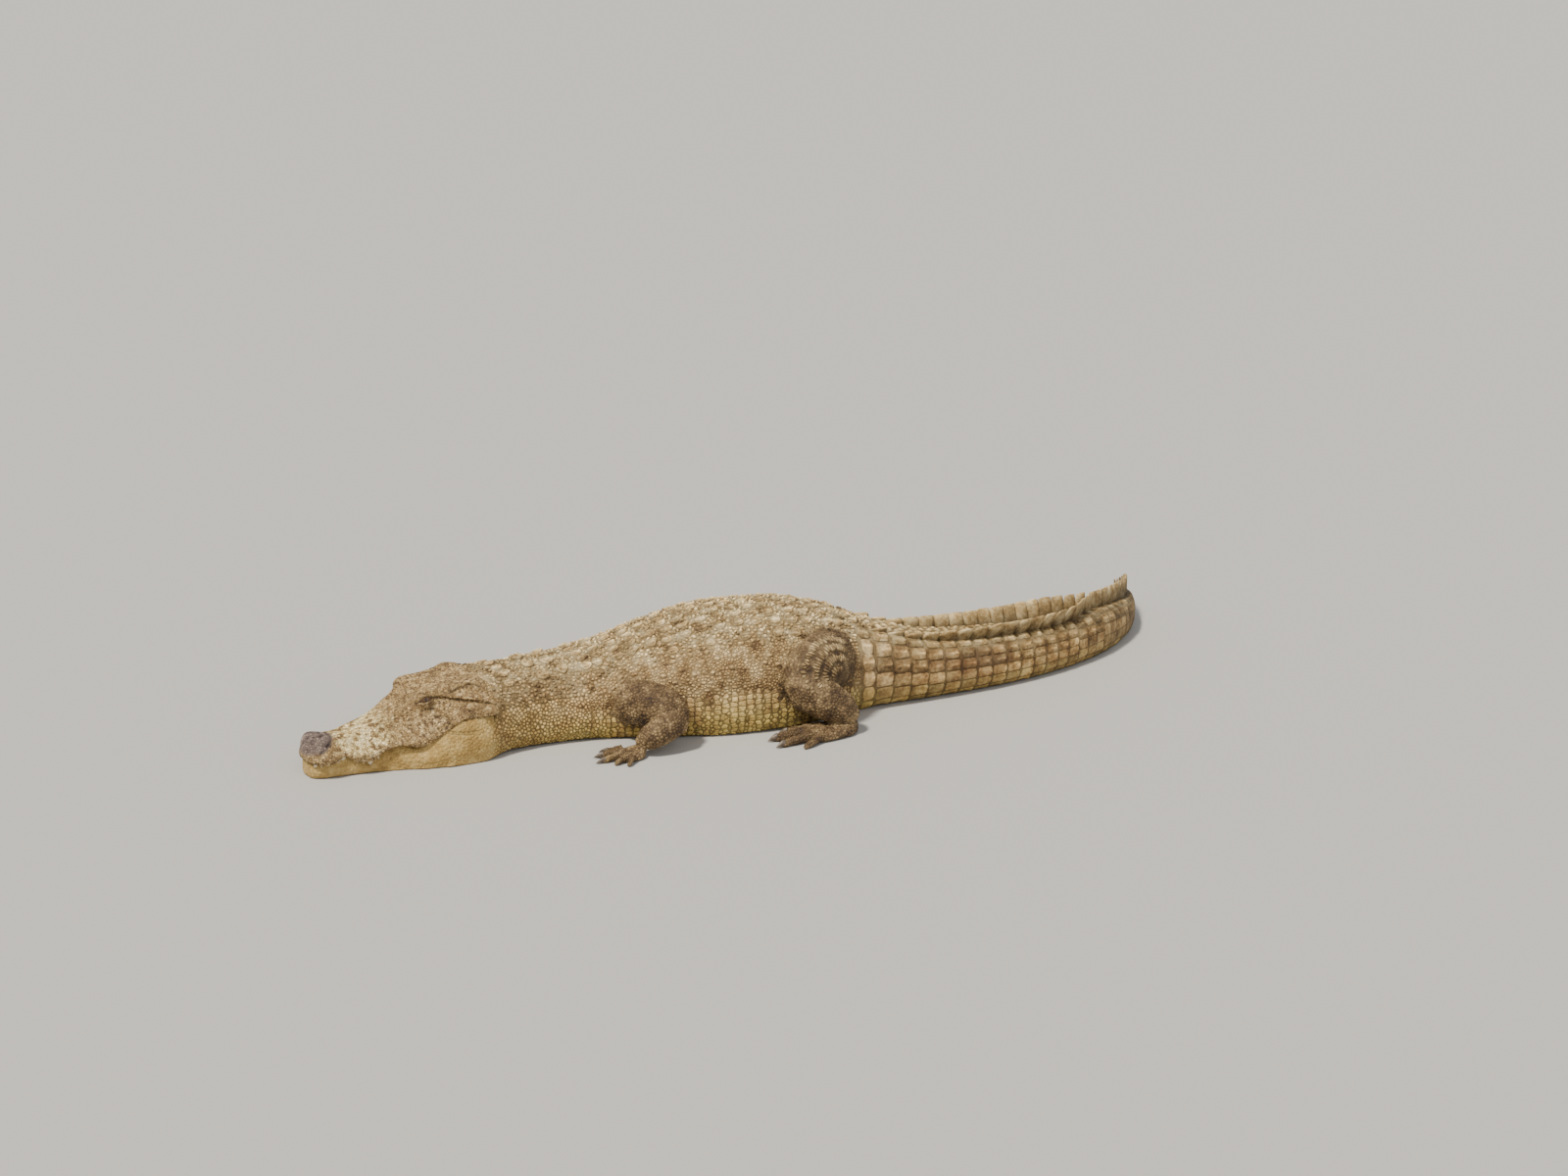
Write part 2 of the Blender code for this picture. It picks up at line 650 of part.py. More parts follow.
def make_limbs(trunk_cutter, parts, cutters):
    for mirror, side in ((1, "left"), (-1, "right")):
        make_limb((f"upper_arm_{side}", f"forearm_{side}", f"hand_{side}"), ARM_BONES, ARM_RADII,
                  HAND_HEADING, HAND_PALM, HAND_TOES, mirror, trunk_cutter, parts, cutters)
        make_limb((f"thigh_{side}", f"shank_{side}", f"foot_{side}"), LEG_BONES, LEG_RADII,
                  FOOT_HEADING, FOOT_PALM, FOOT_TOES, mirror, trunk_cutter, parts, cutters)


def centre_on_floor(objects, parts):
    """Moves everything so that the middle of the whole model's box is over the origin."""
    graph = bpy.context.evaluated_depsgraph_get()
    corners = [Vector(c) for o in parts.objects for c in o.evaluated_get(graph).bound_box]
    low = Vector(map(min, zip(*corners)))
    high = Vector(map(max, zip(*corners)))
    shift = Vector((-(low.x + high.x) / 2, -(low.y + high.y) / 2, -low.z))
    for piece in objects:
        piece.data.transform(Matrix.Translation(shift))


def main():
    for old in list(bpy.data.objects):
        bpy.data.objects.remove(old)
    parts, cutters = new_collection("crocodile"), new_collection("cutters")
    make_body(parts)
    make_head(parts, cutters)
    make_limbs(make_trunk_cutter(cutters), parts, cutters)
    centre_on_floor([*parts.objects, *cutters.objects], parts)


main()
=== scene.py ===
# %% [markdown]
# # A crocodile at rest, life size
# A still model in the museum manner. One smooth skin covers the whole animal, and thousands of small closed
# scales stand on it. Eyes, teeth and claws are pieces of their own. Everything is measured along a spine:
# a place on the body is a distance behind the back of the skull, a side and a height. Lengths are in metres.

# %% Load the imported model
import bpy
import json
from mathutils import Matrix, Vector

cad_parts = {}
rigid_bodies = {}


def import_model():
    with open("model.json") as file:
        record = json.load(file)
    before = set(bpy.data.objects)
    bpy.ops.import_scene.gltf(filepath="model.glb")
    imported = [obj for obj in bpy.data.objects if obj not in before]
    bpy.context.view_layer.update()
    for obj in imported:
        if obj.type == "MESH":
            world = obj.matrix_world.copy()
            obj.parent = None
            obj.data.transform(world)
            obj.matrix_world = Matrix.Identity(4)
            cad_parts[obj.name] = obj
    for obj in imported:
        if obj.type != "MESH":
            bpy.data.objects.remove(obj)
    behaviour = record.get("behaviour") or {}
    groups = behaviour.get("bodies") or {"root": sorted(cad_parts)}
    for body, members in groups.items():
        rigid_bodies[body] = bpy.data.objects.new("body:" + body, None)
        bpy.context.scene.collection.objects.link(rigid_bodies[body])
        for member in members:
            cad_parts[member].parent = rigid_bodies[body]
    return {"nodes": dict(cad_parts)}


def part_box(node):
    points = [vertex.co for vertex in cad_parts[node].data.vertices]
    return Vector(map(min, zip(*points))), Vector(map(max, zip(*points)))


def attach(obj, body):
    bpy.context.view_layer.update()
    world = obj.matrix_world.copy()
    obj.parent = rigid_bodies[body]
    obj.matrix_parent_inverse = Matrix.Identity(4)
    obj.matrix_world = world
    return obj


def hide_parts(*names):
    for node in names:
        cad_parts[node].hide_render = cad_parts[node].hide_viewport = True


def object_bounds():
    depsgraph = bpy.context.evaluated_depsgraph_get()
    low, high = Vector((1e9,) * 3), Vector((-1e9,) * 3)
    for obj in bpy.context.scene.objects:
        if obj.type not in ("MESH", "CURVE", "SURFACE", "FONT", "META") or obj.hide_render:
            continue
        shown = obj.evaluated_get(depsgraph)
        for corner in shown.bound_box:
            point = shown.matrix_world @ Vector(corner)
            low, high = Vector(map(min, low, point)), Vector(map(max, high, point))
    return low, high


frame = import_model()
for spare in [o for o in bpy.data.objects if o.name in ("Cube", "Light", "Camera")]:
    bpy.data.objects.remove(spare)
CAD_BOX = [list(corner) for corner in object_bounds()]

import json
import math

import bmesh
import numpy as np
from mathutils import Matrix, Vector, noise
from mathutils.bvhtree import BVHTree
from mathutils.kdtree import KDTree

print("packed model:", len(frame["nodes"]), "nodes, box", CAD_BOX)

# %% [markdown]
# ## Curves through a few stations
# Widths, heights and turns are given at a few places. A smooth curve without overshoot runs through them, so
# a swelling never appears between two stations. It works on whole arrays, which keeps the script quick.

# %% A smooth curve through stations
def curve(stations, column=1):
    xs, ys = np.array(sorted((row[0], row[column]) for row in stations), float).T
    steps = np.diff(xs)
    slopes = np.diff(ys) / steps
    tangents = np.zeros(len(xs))
    tangents[0], tangents[-1] = slopes[0], slopes[-1]
    for i in range(1, len(xs) - 1):
        if slopes[i - 1] * slopes[i] > 0:
            first, second = 2 * steps[i] + steps[i - 1], steps[i] + 2 * steps[i - 1]
            tangents[i] = (first + second) / (first / slopes[i - 1] + second / slopes[i])

    def value(place):
        x = np.clip(np.asarray(place, float), xs[0], xs[-1])
        i = np.clip(np.searchsorted(xs, x, side="right") - 1, 0, len(steps) - 1)
        h = steps[i]
        t = (x - xs[i]) / h
        return (ys[i] * (2 * t**3 - 3 * t**2 + 1) + tangents[i] * h * (t**3 - 2 * t**2 + t)
                + ys[i + 1] * (3 * t**2 - 2 * t**3) + tangents[i + 1] * h * (t**3 - t**2))

    return value


def smooth_line(points, count):
    """Evenly spread points on a smooth line through the given ones."""
    points = np.asarray(points, float)
    ends = np.vstack([2 * points[0] - points[1], points, 2 * points[-1] - points[-2]])
    t = np.linspace(0, 1, 13)[:-1, None]
    dense = [0.5 * (2 * b + (c - a) * t + (2 * a - 5 * b + 4 * c - d) * t**2 + (3 * b - a - 3 * c + d) * t**3)
             for a, b, c, d in zip(ends, ends[1:], ends[2:], ends[3:])]
    dense = np.vstack([*dense, points[-1:]])
    lengths = np.concatenate([[0], np.cumsum(np.linalg.norm(np.diff(dense, axis=0), axis=1))])
    targets = np.linspace(0, lengths[-1], count)
    return np.stack([np.interp(targets, lengths, dense[:, i]) for i in range(dense.shape[1])], axis=1)


def ease(low, high, value):
    """0 below low, 1 above high, and a smooth step between."""
    t = np.clip((np.asarray(value, float) - low) / (high - low), 0, 1)
    return t * t * (3 - 2 * t)


def bell(away, width):
    """1 where away is zero, and a smooth fall to nearly nothing at twice the width."""
    return np.exp(-((away / width) ** 2))


# %% [markdown]
# ## Sizes of the animal
# These are the driving sizes of the solids: total length, sections of the body, the head in shares of its
# own length, and the bones of the limbs. The skin follows the same sections, drawn in by the depth of the scales.

# %% Sizes of body and tail
TOTAL_LENGTH = 2.81
HEAD_LENGTH = 0.148 * TOTAL_LENGTH
BODY_LENGTH = TOTAL_LENGTH - HEAD_LENGTH
TRUNK_END = 1.06
WHORLS = 36
CREST_MERGE = 17
HEADINGS = ((-0.1, 16.5), (0.05, 16.5), (0.25, 12), (0.45, 0), (0.95, 0), (1.25, 6), (1.65, 23.5),
            (2.05, 54), (2.4, 88))
CREST_LINE = ((1.06, 0.196), (1.2, 0.178), (1.45, 0.172), (1.75, 0.172), (2.0, 0.156), (2.2, 0.12),
              (2.4, 0.046))
# place, half width, height of the back, squareness above and below the widest level
BODY_SECTIONS = (
    (0.02, 0.144, 0.196, 2.4, 3.2), (0.12, 0.136, 0.192, 2.3, 3.2), (0.24, 0.148, 0.193, 2.3, 3.4),
    (0.36, 0.17, 0.208, 2.3, 4.0), (0.52, 0.208, 0.254, 2.3, 4.8), (0.68, 0.23, 0.283, 2.3, 5.0),
    (0.82, 0.222, 0.284, 2.3, 4.6), (0.95, 0.184, 0.262, 2.4, 3.6), (1.08, 0.14, 0.21, 3.0, 2.6),
    (1.25, 0.116, 0.16, 3.2, 2.4), (1.5, 0.092, 0.14, 3.4, 2.5), (1.8, 0.064, 0.126, 3.2, 2.5),
    (2.1, 0.036, 0.092, 2.8, 2.5), (2.28, 0.018, 0.06, 2.4, 2.4), (2.394, 0.004, 0.02, 2.0, 2.0),
)
# the widest level of a section as a share of its height, how far the round belly would reach under the floor, and
# the height at which it is cut flat to rest on the floor
WIDEST_AT = 0.42
BELLY_SINK = 0.08
RESTING = 0.0012
# how far the skin lies inside the solids, which reach the tips of the scales
COAT_DEPTH = ((0.0, 0.004), (0.25, 0.006), (0.4, 0.008), (1.0, 0.008), (1.3, 0.006), (2.0, 0.003), (2.4, 0.001))

heading_at = curve(HEADINGS)
half_width_at, back_height_at, upper_at, lower_at = (curve(BODY_SECTIONS, i) for i in range(1, 5))
crest_line_at = curve(CREST_LINE)
coat_depth_at = curve(COAT_DEPTH)
SPINE_STEP = 0.005
SPINE = np.arange(-0.5, BODY_LENGTH + 0.011, SPINE_STEP)
TURNS = np.radians(heading_at(SPINE))
SPINE_X = np.concatenate([[0], np.cumsum(np.cos(TURNS[:-1]) * SPINE_STEP)])
SPINE_Y = np.concatenate([[0], np.cumsum(np.sin(TURNS[:-1]) * SPINE_STEP)])
SHIFT = np.zeros(3)


def on_body(place, side, height):
    """Points beside the spine; side is positive towards the animal's left."""
    place, side, height = np.broadcast_arrays(np.asarray(place, float), side, height)
    angle = np.radians(heading_at(place))
    x = np.interp(place, SPINE, SPINE_X) + side * np.sin(angle)
    y = np.interp(place, SPINE, SPINE_Y) - side * np.cos(angle)
    return np.stack([x, y, height], axis=-1) + SHIFT


def tailwards(place):
    """The direction of the spine, towards the tail."""
    angle = np.radians(heading_at(place))
    return np.stack([np.cos(angle), np.sin(angle), np.zeros_like(angle)], axis=-1)


print(f"head {HEAD_LENGTH:.3f} m, body and tail {BODY_LENGTH:.3f} m")

# %% Sizes of the head
def thousandths(*rows):
    """Rows of shares of HEAD_LENGTH, given as whole thousandths."""
    return np.array(rows) / 1000


# u, cheek half width, cheek height, table half width, table height, midline height
SKULL_SECTIONS = thousandths(
    (-100, 326, 216, 215, 430, 446), (-40, 328, 220, 208, 440, 448),
    (0, 326, 220, 198, 444, 444), (120, 312, 212, 186, 438, 436),
    (240, 288, 196, 172, 420, 412), (340, 260, 180, 148, 386, 370),
    (420, 238, 166, 120, 334, 328), (520, 210, 152, 100, 284, 288),
    (620, 190, 138, 96, 248, 258), (720, 174, 126, 92, 224, 236),
    (800, 148, 130, 82, 214, 224), (880, 154, 130, 84, 216, 226),
    (940, 136, 128, 74, 216, 226), (980, 94, 128, 50, 200, 208),
    (1000, 34, 130, 18, 170, 174),
)
LIP_LINE = thousandths(
    (-100, 264), (-40, 266), (60, 272), (130, 266), (220, 216), (300, 160), (380, 132),
    (480, 152), (570, 130), (670, 78), (740, 92), (800, 122), (860, 98), (930, 90),
    (1000, 104),
)
# u, half width of the lower jaw at the lip, at its widest, on the floor
JAW_WIDTHS = thousandths(
    (-100, 308, 348, 308), (20, 308, 356, 320), (140, 294, 346, 314),
    (260, 264, 316, 290), (380, 216, 266, 248), (520, 154, 198, 186),
    (660, 140, 162, 146), (800, 124, 138, 112), (900, 108, 120, 90),
    (960, 80, 88, 64), (985, 38, 42, 30),
)
EYE_U, EYE_SIDE, EYE_HEIGHT = 0.3, 0.162, 0.376
EYE_RADIUS = 0.019
# u, side, height, radius and rise of each swelling of the skull
SKULL_SWELLINGS = thousandths(
    (285, 150, 410, 80, 16), (10, 195, 430, 60, 18), (930, 45, 225, 60, 20),
    (440, 115, 320, 70, 8), (390, 235, 150, 100, 10), (670, 168, 110, 80, 10),
)
cheek_at, cheek_z_at, table_at, table_z_at, midline_at = (curve(SKULL_SECTIONS, i) for i in range(1, 6))
lip_at = curve(LIP_LINE)
jaw_lip_at, jaw_wide_at, jaw_base_at = (curve(JAW_WIDTHS, i) for i in range(1, 4))
HEAD_TURN = math.radians(HEADINGS[0][1])
# farther than any point of the animal from another
FAR = 9.0


def on_head(u, side, height):
    """Points in shares of HEAD_LENGTH: u runs from the back of the skull (0) to the tip of the snout (1)."""
    along, across = -np.asarray(u, float) * HEAD_LENGTH, np.asarray(side, float) * HEAD_LENGTH
    start = on_body(0.0, 0.0, 0.0)
    along, across, height = np.broadcast_arrays(along, across, height)
    return np.stack([start[0] + along * math.cos(HEAD_TURN) + across * math.sin(HEAD_TURN),
                     start[1] + along * math.sin(HEAD_TURN) - across * math.cos(HEAD_TURN),
                     start[2] + height * HEAD_LENGTH], axis=-1)


eye_low, eye_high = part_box("eye_left")
SHIFT = np.array((eye_low + eye_high) / 2) - on_head(EYE_U, EYE_SIDE, EYE_HEIGHT)
EYES = {mirror: on_head(EYE_U, mirror * EYE_SIDE, EYE_HEIGHT) for mirror in (1, -1)}


def head_place(points):
    """The (u, side, height) of points, in shares of HEAD_LENGTH."""
    away = np.asarray(points) - on_body(0.0, 0.0, 0.0)
    forward = np.array([-math.cos(HEAD_TURN), -math.sin(HEAD_TURN), 0])
    left = np.array([math.sin(HEAD_TURN), -math.cos(HEAD_TURN), 0])
    return np.stack([away @ forward, away @ left, away[..., 2]], axis=-1) / HEAD_LENGTH


print("shift of the packed model:", SHIFT.round(4))

# %% [markdown]
# ## Loft: rings joined into a closed form
# A body, a snout and a limb are all rings of points along a line. The rings are laid on a flat grid, whose
# seam is then merged and whose open ends are filled, so that Blender's own operators make every face.

# %% Lofting helpers
def loft(rings):
    rings = np.asarray(rings, float)
    count, around = rings.shape[:2]
    build = bmesh.new()
    bmesh.ops.create_grid(build, x_segments=around, y_segments=count - 1, size=1)
    for vert, place in zip(build.verts, np.concatenate([rings, rings[:, :1]], axis=1).reshape(-1, 3)):
        vert.co = place
    bmesh.ops.remove_doubles(build, verts=build.verts, dist=1e-7)
    bmesh.ops.holes_fill(build, edges=[e for e in build.edges if e.is_boundary], sides=0)
    bmesh.ops.recalc_face_normals(build, faces=build.faces)
    return build


def between(rings, times):
    """More rings on smooth lines through the given ones."""
    rings = np.asarray(rings, float)
    count, around = rings.shape[:2]
    lines = [smooth_line(rings[:, k], (count - 1) * times + 1) for k in range(around)]
    return np.stack(lines, axis=1)


def to_object(name, build):
    mesh = bpy.data.meshes.new(name)
    build.to_mesh(mesh)
    build.free()
    piece = bpy.data.objects.new(name, mesh)
    bpy.context.scene.collection.objects.link(piece)
    return piece


def signed_power(value, power):
    return np.sign(value) * np.abs(value) ** power


def body_outline(place, angle, depth=0.0):
    """Side and height of a body section at angles from level, drawn in by the coat's depth."""
    half, top = half_width_at(place) - depth, back_height_at(place) - depth
    middle = WIDEST_AT * top
    above = np.sin(angle) > 0
    power = 2 / np.where(above, upper_at(place), lower_at(place))
    side = half * signed_power(np.cos(angle), power)
    height = middle + np.where(above, top - middle, middle + BELLY_SINK * top) * signed_power(np.sin(angle), power)
    return side, np.maximum(height, RESTING)


# %% [markdown]
# ## The flesh under the skin
# The body is one loft from the nape to the tip of the tail. Skull and lower jaw are two more, limbs are lofts
# along their bones. They overlap where they meet, and a voxel remesh later melts them into one skin.

# %% Body, skull and jaw forms
forms = []
places = np.linspace(0.034, BODY_LENGTH - 0.001, 240)[:, None]
angles = np.linspace(0, 2 * math.pi, 97)[None, :-1]
side, height = body_outline(places, angles, coat_depth_at(places))
forms.append(("body", loft(on_body(places, side, height))))


def swollen(points):
    """Skull points pushed out by the swellings near them."""
    for centre_u, centre_side, centre_height, radius, rise in SKULL_SWELLINGS:
        for mirror in (1, -1):
            away = np.linalg.norm(points - (centre_u, mirror * centre_side, centre_height), axis=-1)
            out = np.array((0, 0.5 * mirror, 1) if centre_height > 0.2 else (0, mirror, 0), float)
            points = points + out / np.linalg.norm(out) * rise * bell(away, radius)[..., None]
    return points


def mirrored(u, half):
    """A whole ring from its left half, which starts and ends on the midline."""
    left = np.column_stack([np.full(len(half), u), half])
    right = left[-2:0:-1] * (1, -1, 1)
    return np.vstack([left, right])


def skull_ring(u):
    drawn_in = 0.022 * float(ease(-0.04, -0.13, u))
    cheek, cheek_z = cheek_at(u), max(cheek_z_at(u), lip_at(u) + 0.012)
    table, table_z, middle_z, lip_z = table_at(u), table_z_at(u), midline_at(u), lip_at(u)
    outline = [(0, middle_z), (0.55 * table, 0.5 * (middle_z + table_z) + 0.002), (table, table_z),
               (table + 0.32 * (cheek - table), table_z - 0.42 * (table_z - cheek_z)), (cheek, cheek_z),
               (0.99 * cheek, lip_z + 0.35 * (cheek_z - lip_z)), (0.965 * cheek, lip_z),
               (0.6 * cheek, lip_z + 0.006), (0, lip_z + 0.006)]
    half = smooth_line(outline, 44) * (1 - drawn_in)
    return on_head(*swollen(mirrored(u, half)).T)


def jaw_ring(u):
    drawn_in = 0.03 * float(ease(-0.02, -0.13, u))
    lip, widest, base, top = (size(u) - drawn_in for size in (jaw_lip_at, jaw_wide_at, jaw_base_at, lip_at))
    top -= 0.003
    outline = [(0, top), (0.6 * lip, top), (lip, top), (0.5 * (lip + widest), 0.8 * top), (widest, 0.42 * top),
               (0.5 * (base + widest), 0.1 * top), (base, 0.0), (0, 0.0)]
    half = smooth_line(outline, 34)
    half[:, 1] = np.clip(half[:, 1], 0.002, top)
    return on_head(*mirrored(u, half).T)


head_places = -0.13 + 1.13 * (1 - (1 - np.linspace(0, 1, 100)) ** 1.25)
forms.append(("head", loft([skull_ring(u) for u in head_places])))
forms.append(("jaw", loft([jaw_ring(u) for u in head_places[head_places < 0.985]])))
LID_THICKNESS = 0.0022
for mirror in (1, -1):
    lid = bmesh.new()
    bmesh.ops.create_icosphere(lid, subdivisions=5, radius=EYE_RADIUS + LID_THICKNESS,
                               matrix=Matrix.Translation(EYES[mirror]))
    forms.append(("head", lid))
print("forms so far:", [name for name, _ in forms])

# %% Sizes of the limbs
ARM_BONES = ((0.405, 0.13, 0.096), (0.52, 0.255, 0.082), (0.405, 0.288, 0.034))
LEG_BONES = ((0.945, 0.09, 0.146), (0.822, 0.226, 0.13), (0.958, 0.268, 0.046))
ARM_RADII = ((0.062, 0.057, 0.047), (0.041, 0.037, 0.027))
LEG_RADII = ((0.09, 0.082, 0.064), (0.057, 0.052, 0.036))
HAND_HEADING, FOOT_HEADING = 14, 8
# length, half width at the wrist, half width at the knuckles, height
HAND_PALM = (0.068, 0.028, 0.044, 0.034)
FOOT_PALM = (0.138, 0.034, 0.054, 0.048)
# toes from the inside out: angle, length, radius, whether it has a claw
HAND_TOES = ((-42, 0.04, 0.0085, True), (-20, 0.054, 0.0095, True), (0, 0.06, 0.0095, True),
             (20, 0.05, 0.008, False), (42, 0.036, 0.007, False))
FOOT_TOES = ((-20, 0.09, 0.012, True), (-5, 0.122, 0.0125, True), (10, 0.126, 0.012, True),
             (26, 0.098, 0.0095, False))
CLAW_LENGTH = 0.021
LIMB_DEPTH = 0.0016

print("toes of a hand:", len(HAND_TOES), "and of a foot:", len(FOOT_TOES))


# %% Rings of limbs, palms and toes
def limb_rings(points, radii, depth):
    """Round sections along a smooth line, closing in at both ends."""
    line = smooth_line(points, 8)
    final = len(line) - 1
    radius_at = curve([(k / (len(radii) - 1), r) for k, r in enumerate(radii)])
    rings = []
    for i, point in enumerate(line):
        ahead = line[min(i + 1, final)] - line[max(i - 1, 0)]
        ahead /= np.linalg.norm(ahead)
        across = np.cross(ahead, (0, 0, 1))
        across /= np.linalg.norm(across)
        up = np.cross(across, ahead)
        radius = float(radius_at(i / final)) - depth
        end = 0.45 if i in (0, final) else 1.0
        shift = ahead * radius * 0.35 * (1 if i == final else -1 if i == 0 else 0)
        turn = np.linspace(0, 2 * math.pi, 29)[:-1, None]
        ring = point + shift + radius * end * (across * np.cos(turn) + up * np.sin(turn))
        ring[:, 2] = np.maximum(ring[:, 2], RESTING)
        rings.append(ring)
    return between(rings, 4)


def limb_point(wrist, heading, along, side, height):
    """A point ahead of the wrist and sideways from the line of the hand."""
    angle = math.radians(heading)
    along, side, height = np.broadcast_arrays(along, side, height)
    return np.stack([wrist[0] - along * math.cos(angle) + side * math.sin(angle),
                     wrist[1] - along * math.sin(angle) - side * math.cos(angle), height], axis=-1)


def palm_rings(wrist, heading, sizes, depth):
    length, back_half, front_half, height = sizes
    turn = np.linspace(0, 2 * math.pi, 25)[:-1]
    rings = []
    for share in np.linspace(0, 1, 6):
        rounding = math.sqrt(max(0.08, 1 - (1 - share) ** 6 - 0.55 * share**10))
        half = (back_half + (front_half - back_half) * share) * rounding - depth
        top = height * (1 - 0.55 * share) * (0.55 + 0.45 * rounding) - depth
        rise = 0.4 * top + 0.6 * top * signed_power(np.sin(turn), 0.8)
        rings.append(limb_point(wrist, heading, -0.012 + share * length, half * np.cos(turn),
                                np.maximum(rise, RESTING)))
    return between(rings, 3)


def toe_line(wrist, heading, sizes, toe, mirror):
    """Where a toe starts and the way it points."""
    spread = toe[0] / 45
    knuckle = limb_point(wrist, heading, sizes[0] * (0.62 - 0.12 * abs(spread)), mirror * spread * sizes[2] * 0.8, 0.0)
    turn = math.radians(heading + mirror * toe[0])
    return knuckle, np.array([-math.cos(turn), -math.sin(turn), 0])


def toe_rings(knuckle, axis, length, radius, depth):
    across = np.array([-axis[1], axis[0], 0])
    turn = np.linspace(0, 2 * math.pi, 17)[:-1, None]
    rings = []
    for share in np.linspace(0, 1, 15):
        joints = 0.13 * sum(math.exp(-(((share - at) / 0.09) ** 2)) for at in (0.42, 0.74))
        thick = radius * (1.1 - 0.3 * share + joints) - depth
        if share > 0.97:
            thick *= 0.62
        centre = knuckle + axis * length * share
        centre[2] = thick * 0.96 + 0.01 * (1 - share) ** 1.5
        ring = centre + across * thick * np.cos(turn) + np.array([0, 0, 1]) * thick * np.sin(turn)
        ring[:, 2] = np.maximum(ring[:, 2], 0.0008)
        rings.append(ring)
    return rings


# %% Limb forms
claw_lines = []
limb_lines = []
for mirror in (1, -1):
    for kind, bones, radii, turn, sizes, toes in (
        ("arm", ARM_BONES, ARM_RADII, HAND_HEADING, HAND_PALM, HAND_TOES),
        ("leg", LEG_BONES, LEG_RADII, FOOT_HEADING, FOOT_PALM, FOOT_TOES),
    ):
        root, middle, wrist = (on_body(place, mirror * side, height) for place, side, height in bones)
        outward = np.array([0, -mirror * 0.02, 0])
        upper = [root, (root + middle) / 2 + outward + (0, 0, 0.012), middle]
        lower = [middle, (middle + wrist) / 2 + outward * 0.5, wrist]
        forms.append((kind, loft(limb_rings(upper, radii[0], LIMB_DEPTH))))
        forms.append((kind, loft(limb_rings(lower, radii[1], LIMB_DEPTH))))
        heading = mirror * turn
        forms.append((kind, loft(palm_rings(wrist, heading, sizes, 0.001))))
        limb_lines.append((kind, mirror, root, middle, wrist))
        for toe in toes:
            knuckle, axis = toe_line(wrist, heading, sizes, toe, mirror)
            forms.append(("toe", loft(toe_rings(knuckle, axis, toe[1], toe[2], 0.0006))))
            if toe[3]:
                claw_lines.append((knuckle + axis * toe[1], axis, toe[2]))
print(len(forms), "forms,", len(claw_lines), "claws")

# %% [markdown]
# ## One skin
# Joining the forms and remeshing them with small voxels gives a single closed surface. Smoothing takes out the
# voxel steps, and Decimate then spends most triangles on the head, where the eye looks first.

# %% Melt the forms into one skin
VOXEL = 0.0026
SKIN_FACES = 190000


def apply_modifiers(piece):
    graph = bpy.context.evaluated_depsgraph_get()
    mesh = bpy.data.meshes.new_from_object(piece.evaluated_get(graph))
    piece.modifiers.clear()
    old = piece.data
    piece.data = mesh
    bpy.data.meshes.remove(old)
    return mesh


def read_array(collection, name, width, kind=np.float32):
    values = np.empty(len(collection) * width, kind)
    collection.foreach_get(name, values)
    return values.reshape(-1, width)


def vertex_places(mesh):
    return read_array(mesh.vertices, "co", 3).astype(float)


def vertex_normals(mesh):
    return read_array(mesh.vertex_normals, "vector", 3).astype(float)


def set_places(mesh, places):
    mesh.vertices.foreach_set("co", np.asarray(places, np.float32).ravel())
    mesh.update()


def joined(builds):
    """One bmesh out of several."""
    whole = bmesh.new()
    for build in builds:
        part = bpy.data.meshes.new("part")
        build.to_mesh(part)
        build.free()
        whole.from_mesh(part)
        bpy.data.meshes.remove(part)
    return whole


sources = KDTree(sum(len(build.verts) for _, build in forms))
source_names = []
for name, build in forms:
    for vert in build.verts:
        sources.insert(vert.co, len(source_names))
        source_names.append(name)
sources.balance()
skin = to_object("skin", joined(build for _, build in forms))
remesh = skin.modifiers.new("melt", "REMESH")
remesh.mode = "VOXEL"
remesh.voxel_size = VOXEL
soften = skin.modifiers.new("soften", "SMOOTH")
soften.factor = 0.5
soften.iterations = 7
apply_modifiers(skin)
print("melted skin:", len(skin.data.polygons), "faces")

# %% Fewer faces away from the head
places = vertex_places(skin.data)
in_head = head_place(places)
care = ease(-0.1, 0.0, in_head[:, 0])
group = skin.vertex_groups.new(name="plain")
levels = np.round(1 - care, 1)
for level in np.unique(levels):
    group.add(np.flatnonzero(levels == level).tolist(), float(level), "REPLACE")
triangles = 2 * len(skin.data.polygons)
thin = skin.modifiers.new("thin", "DECIMATE")
thin.ratio = min(1.0, SKIN_FACES / triangles)
thin.vertex_group = "plain"
thin.vertex_group_factor = 1.0
apply_modifiers(skin)
skin.vertex_groups.clear()
care_left = (head_place(vertex_places(skin.data))[:, 0] > 0).sum()
print("skin:", len(skin.data.polygons), "faces;", care_left, "points on the head, of", (care > 0.99).sum())

# %% [markdown]
# ## Where on the animal is a point?
# Colours and scales change from back to belly, and from head to legs. Each point of the skin gets a place along
# the spine, an angle round the body, and soft masks for head, jaw, limbs and belly, which scales read as well.

# %% Places and masks of skin points
REGION = {"body": 0, "head": 1, "jaw": 2, "arm": 3, "leg": 4, "toe": 5}


def region_of(points):
    return np.array([REGION[source_names[sources.find(p)[1]]] for p in points])


def body_place(points):
    """Place along the spine, side and height of any points."""
    points = np.asarray(points, float)
    flat = points[:, :2] - SHIFT[:2]
    start = (flat[:, None, 0] - SPINE_X[None, ::8]) ** 2 + (flat[:, None, 1] - SPINE_Y[None, ::8]) ** 2
    near = start.argmin(axis=1) * 8
    angle = np.radians(heading_at(SPINE[near]))
    away = flat - np.stack([SPINE_X[near], SPINE_Y[near]], axis=1)
    place = SPINE[near] + away[:, 0] * np.cos(angle) + away[:, 1] * np.sin(angle)
    side = away[:, 0] * np.sin(angle) - away[:, 1] * np.cos(angle)
    return place, side, points[:, 2]


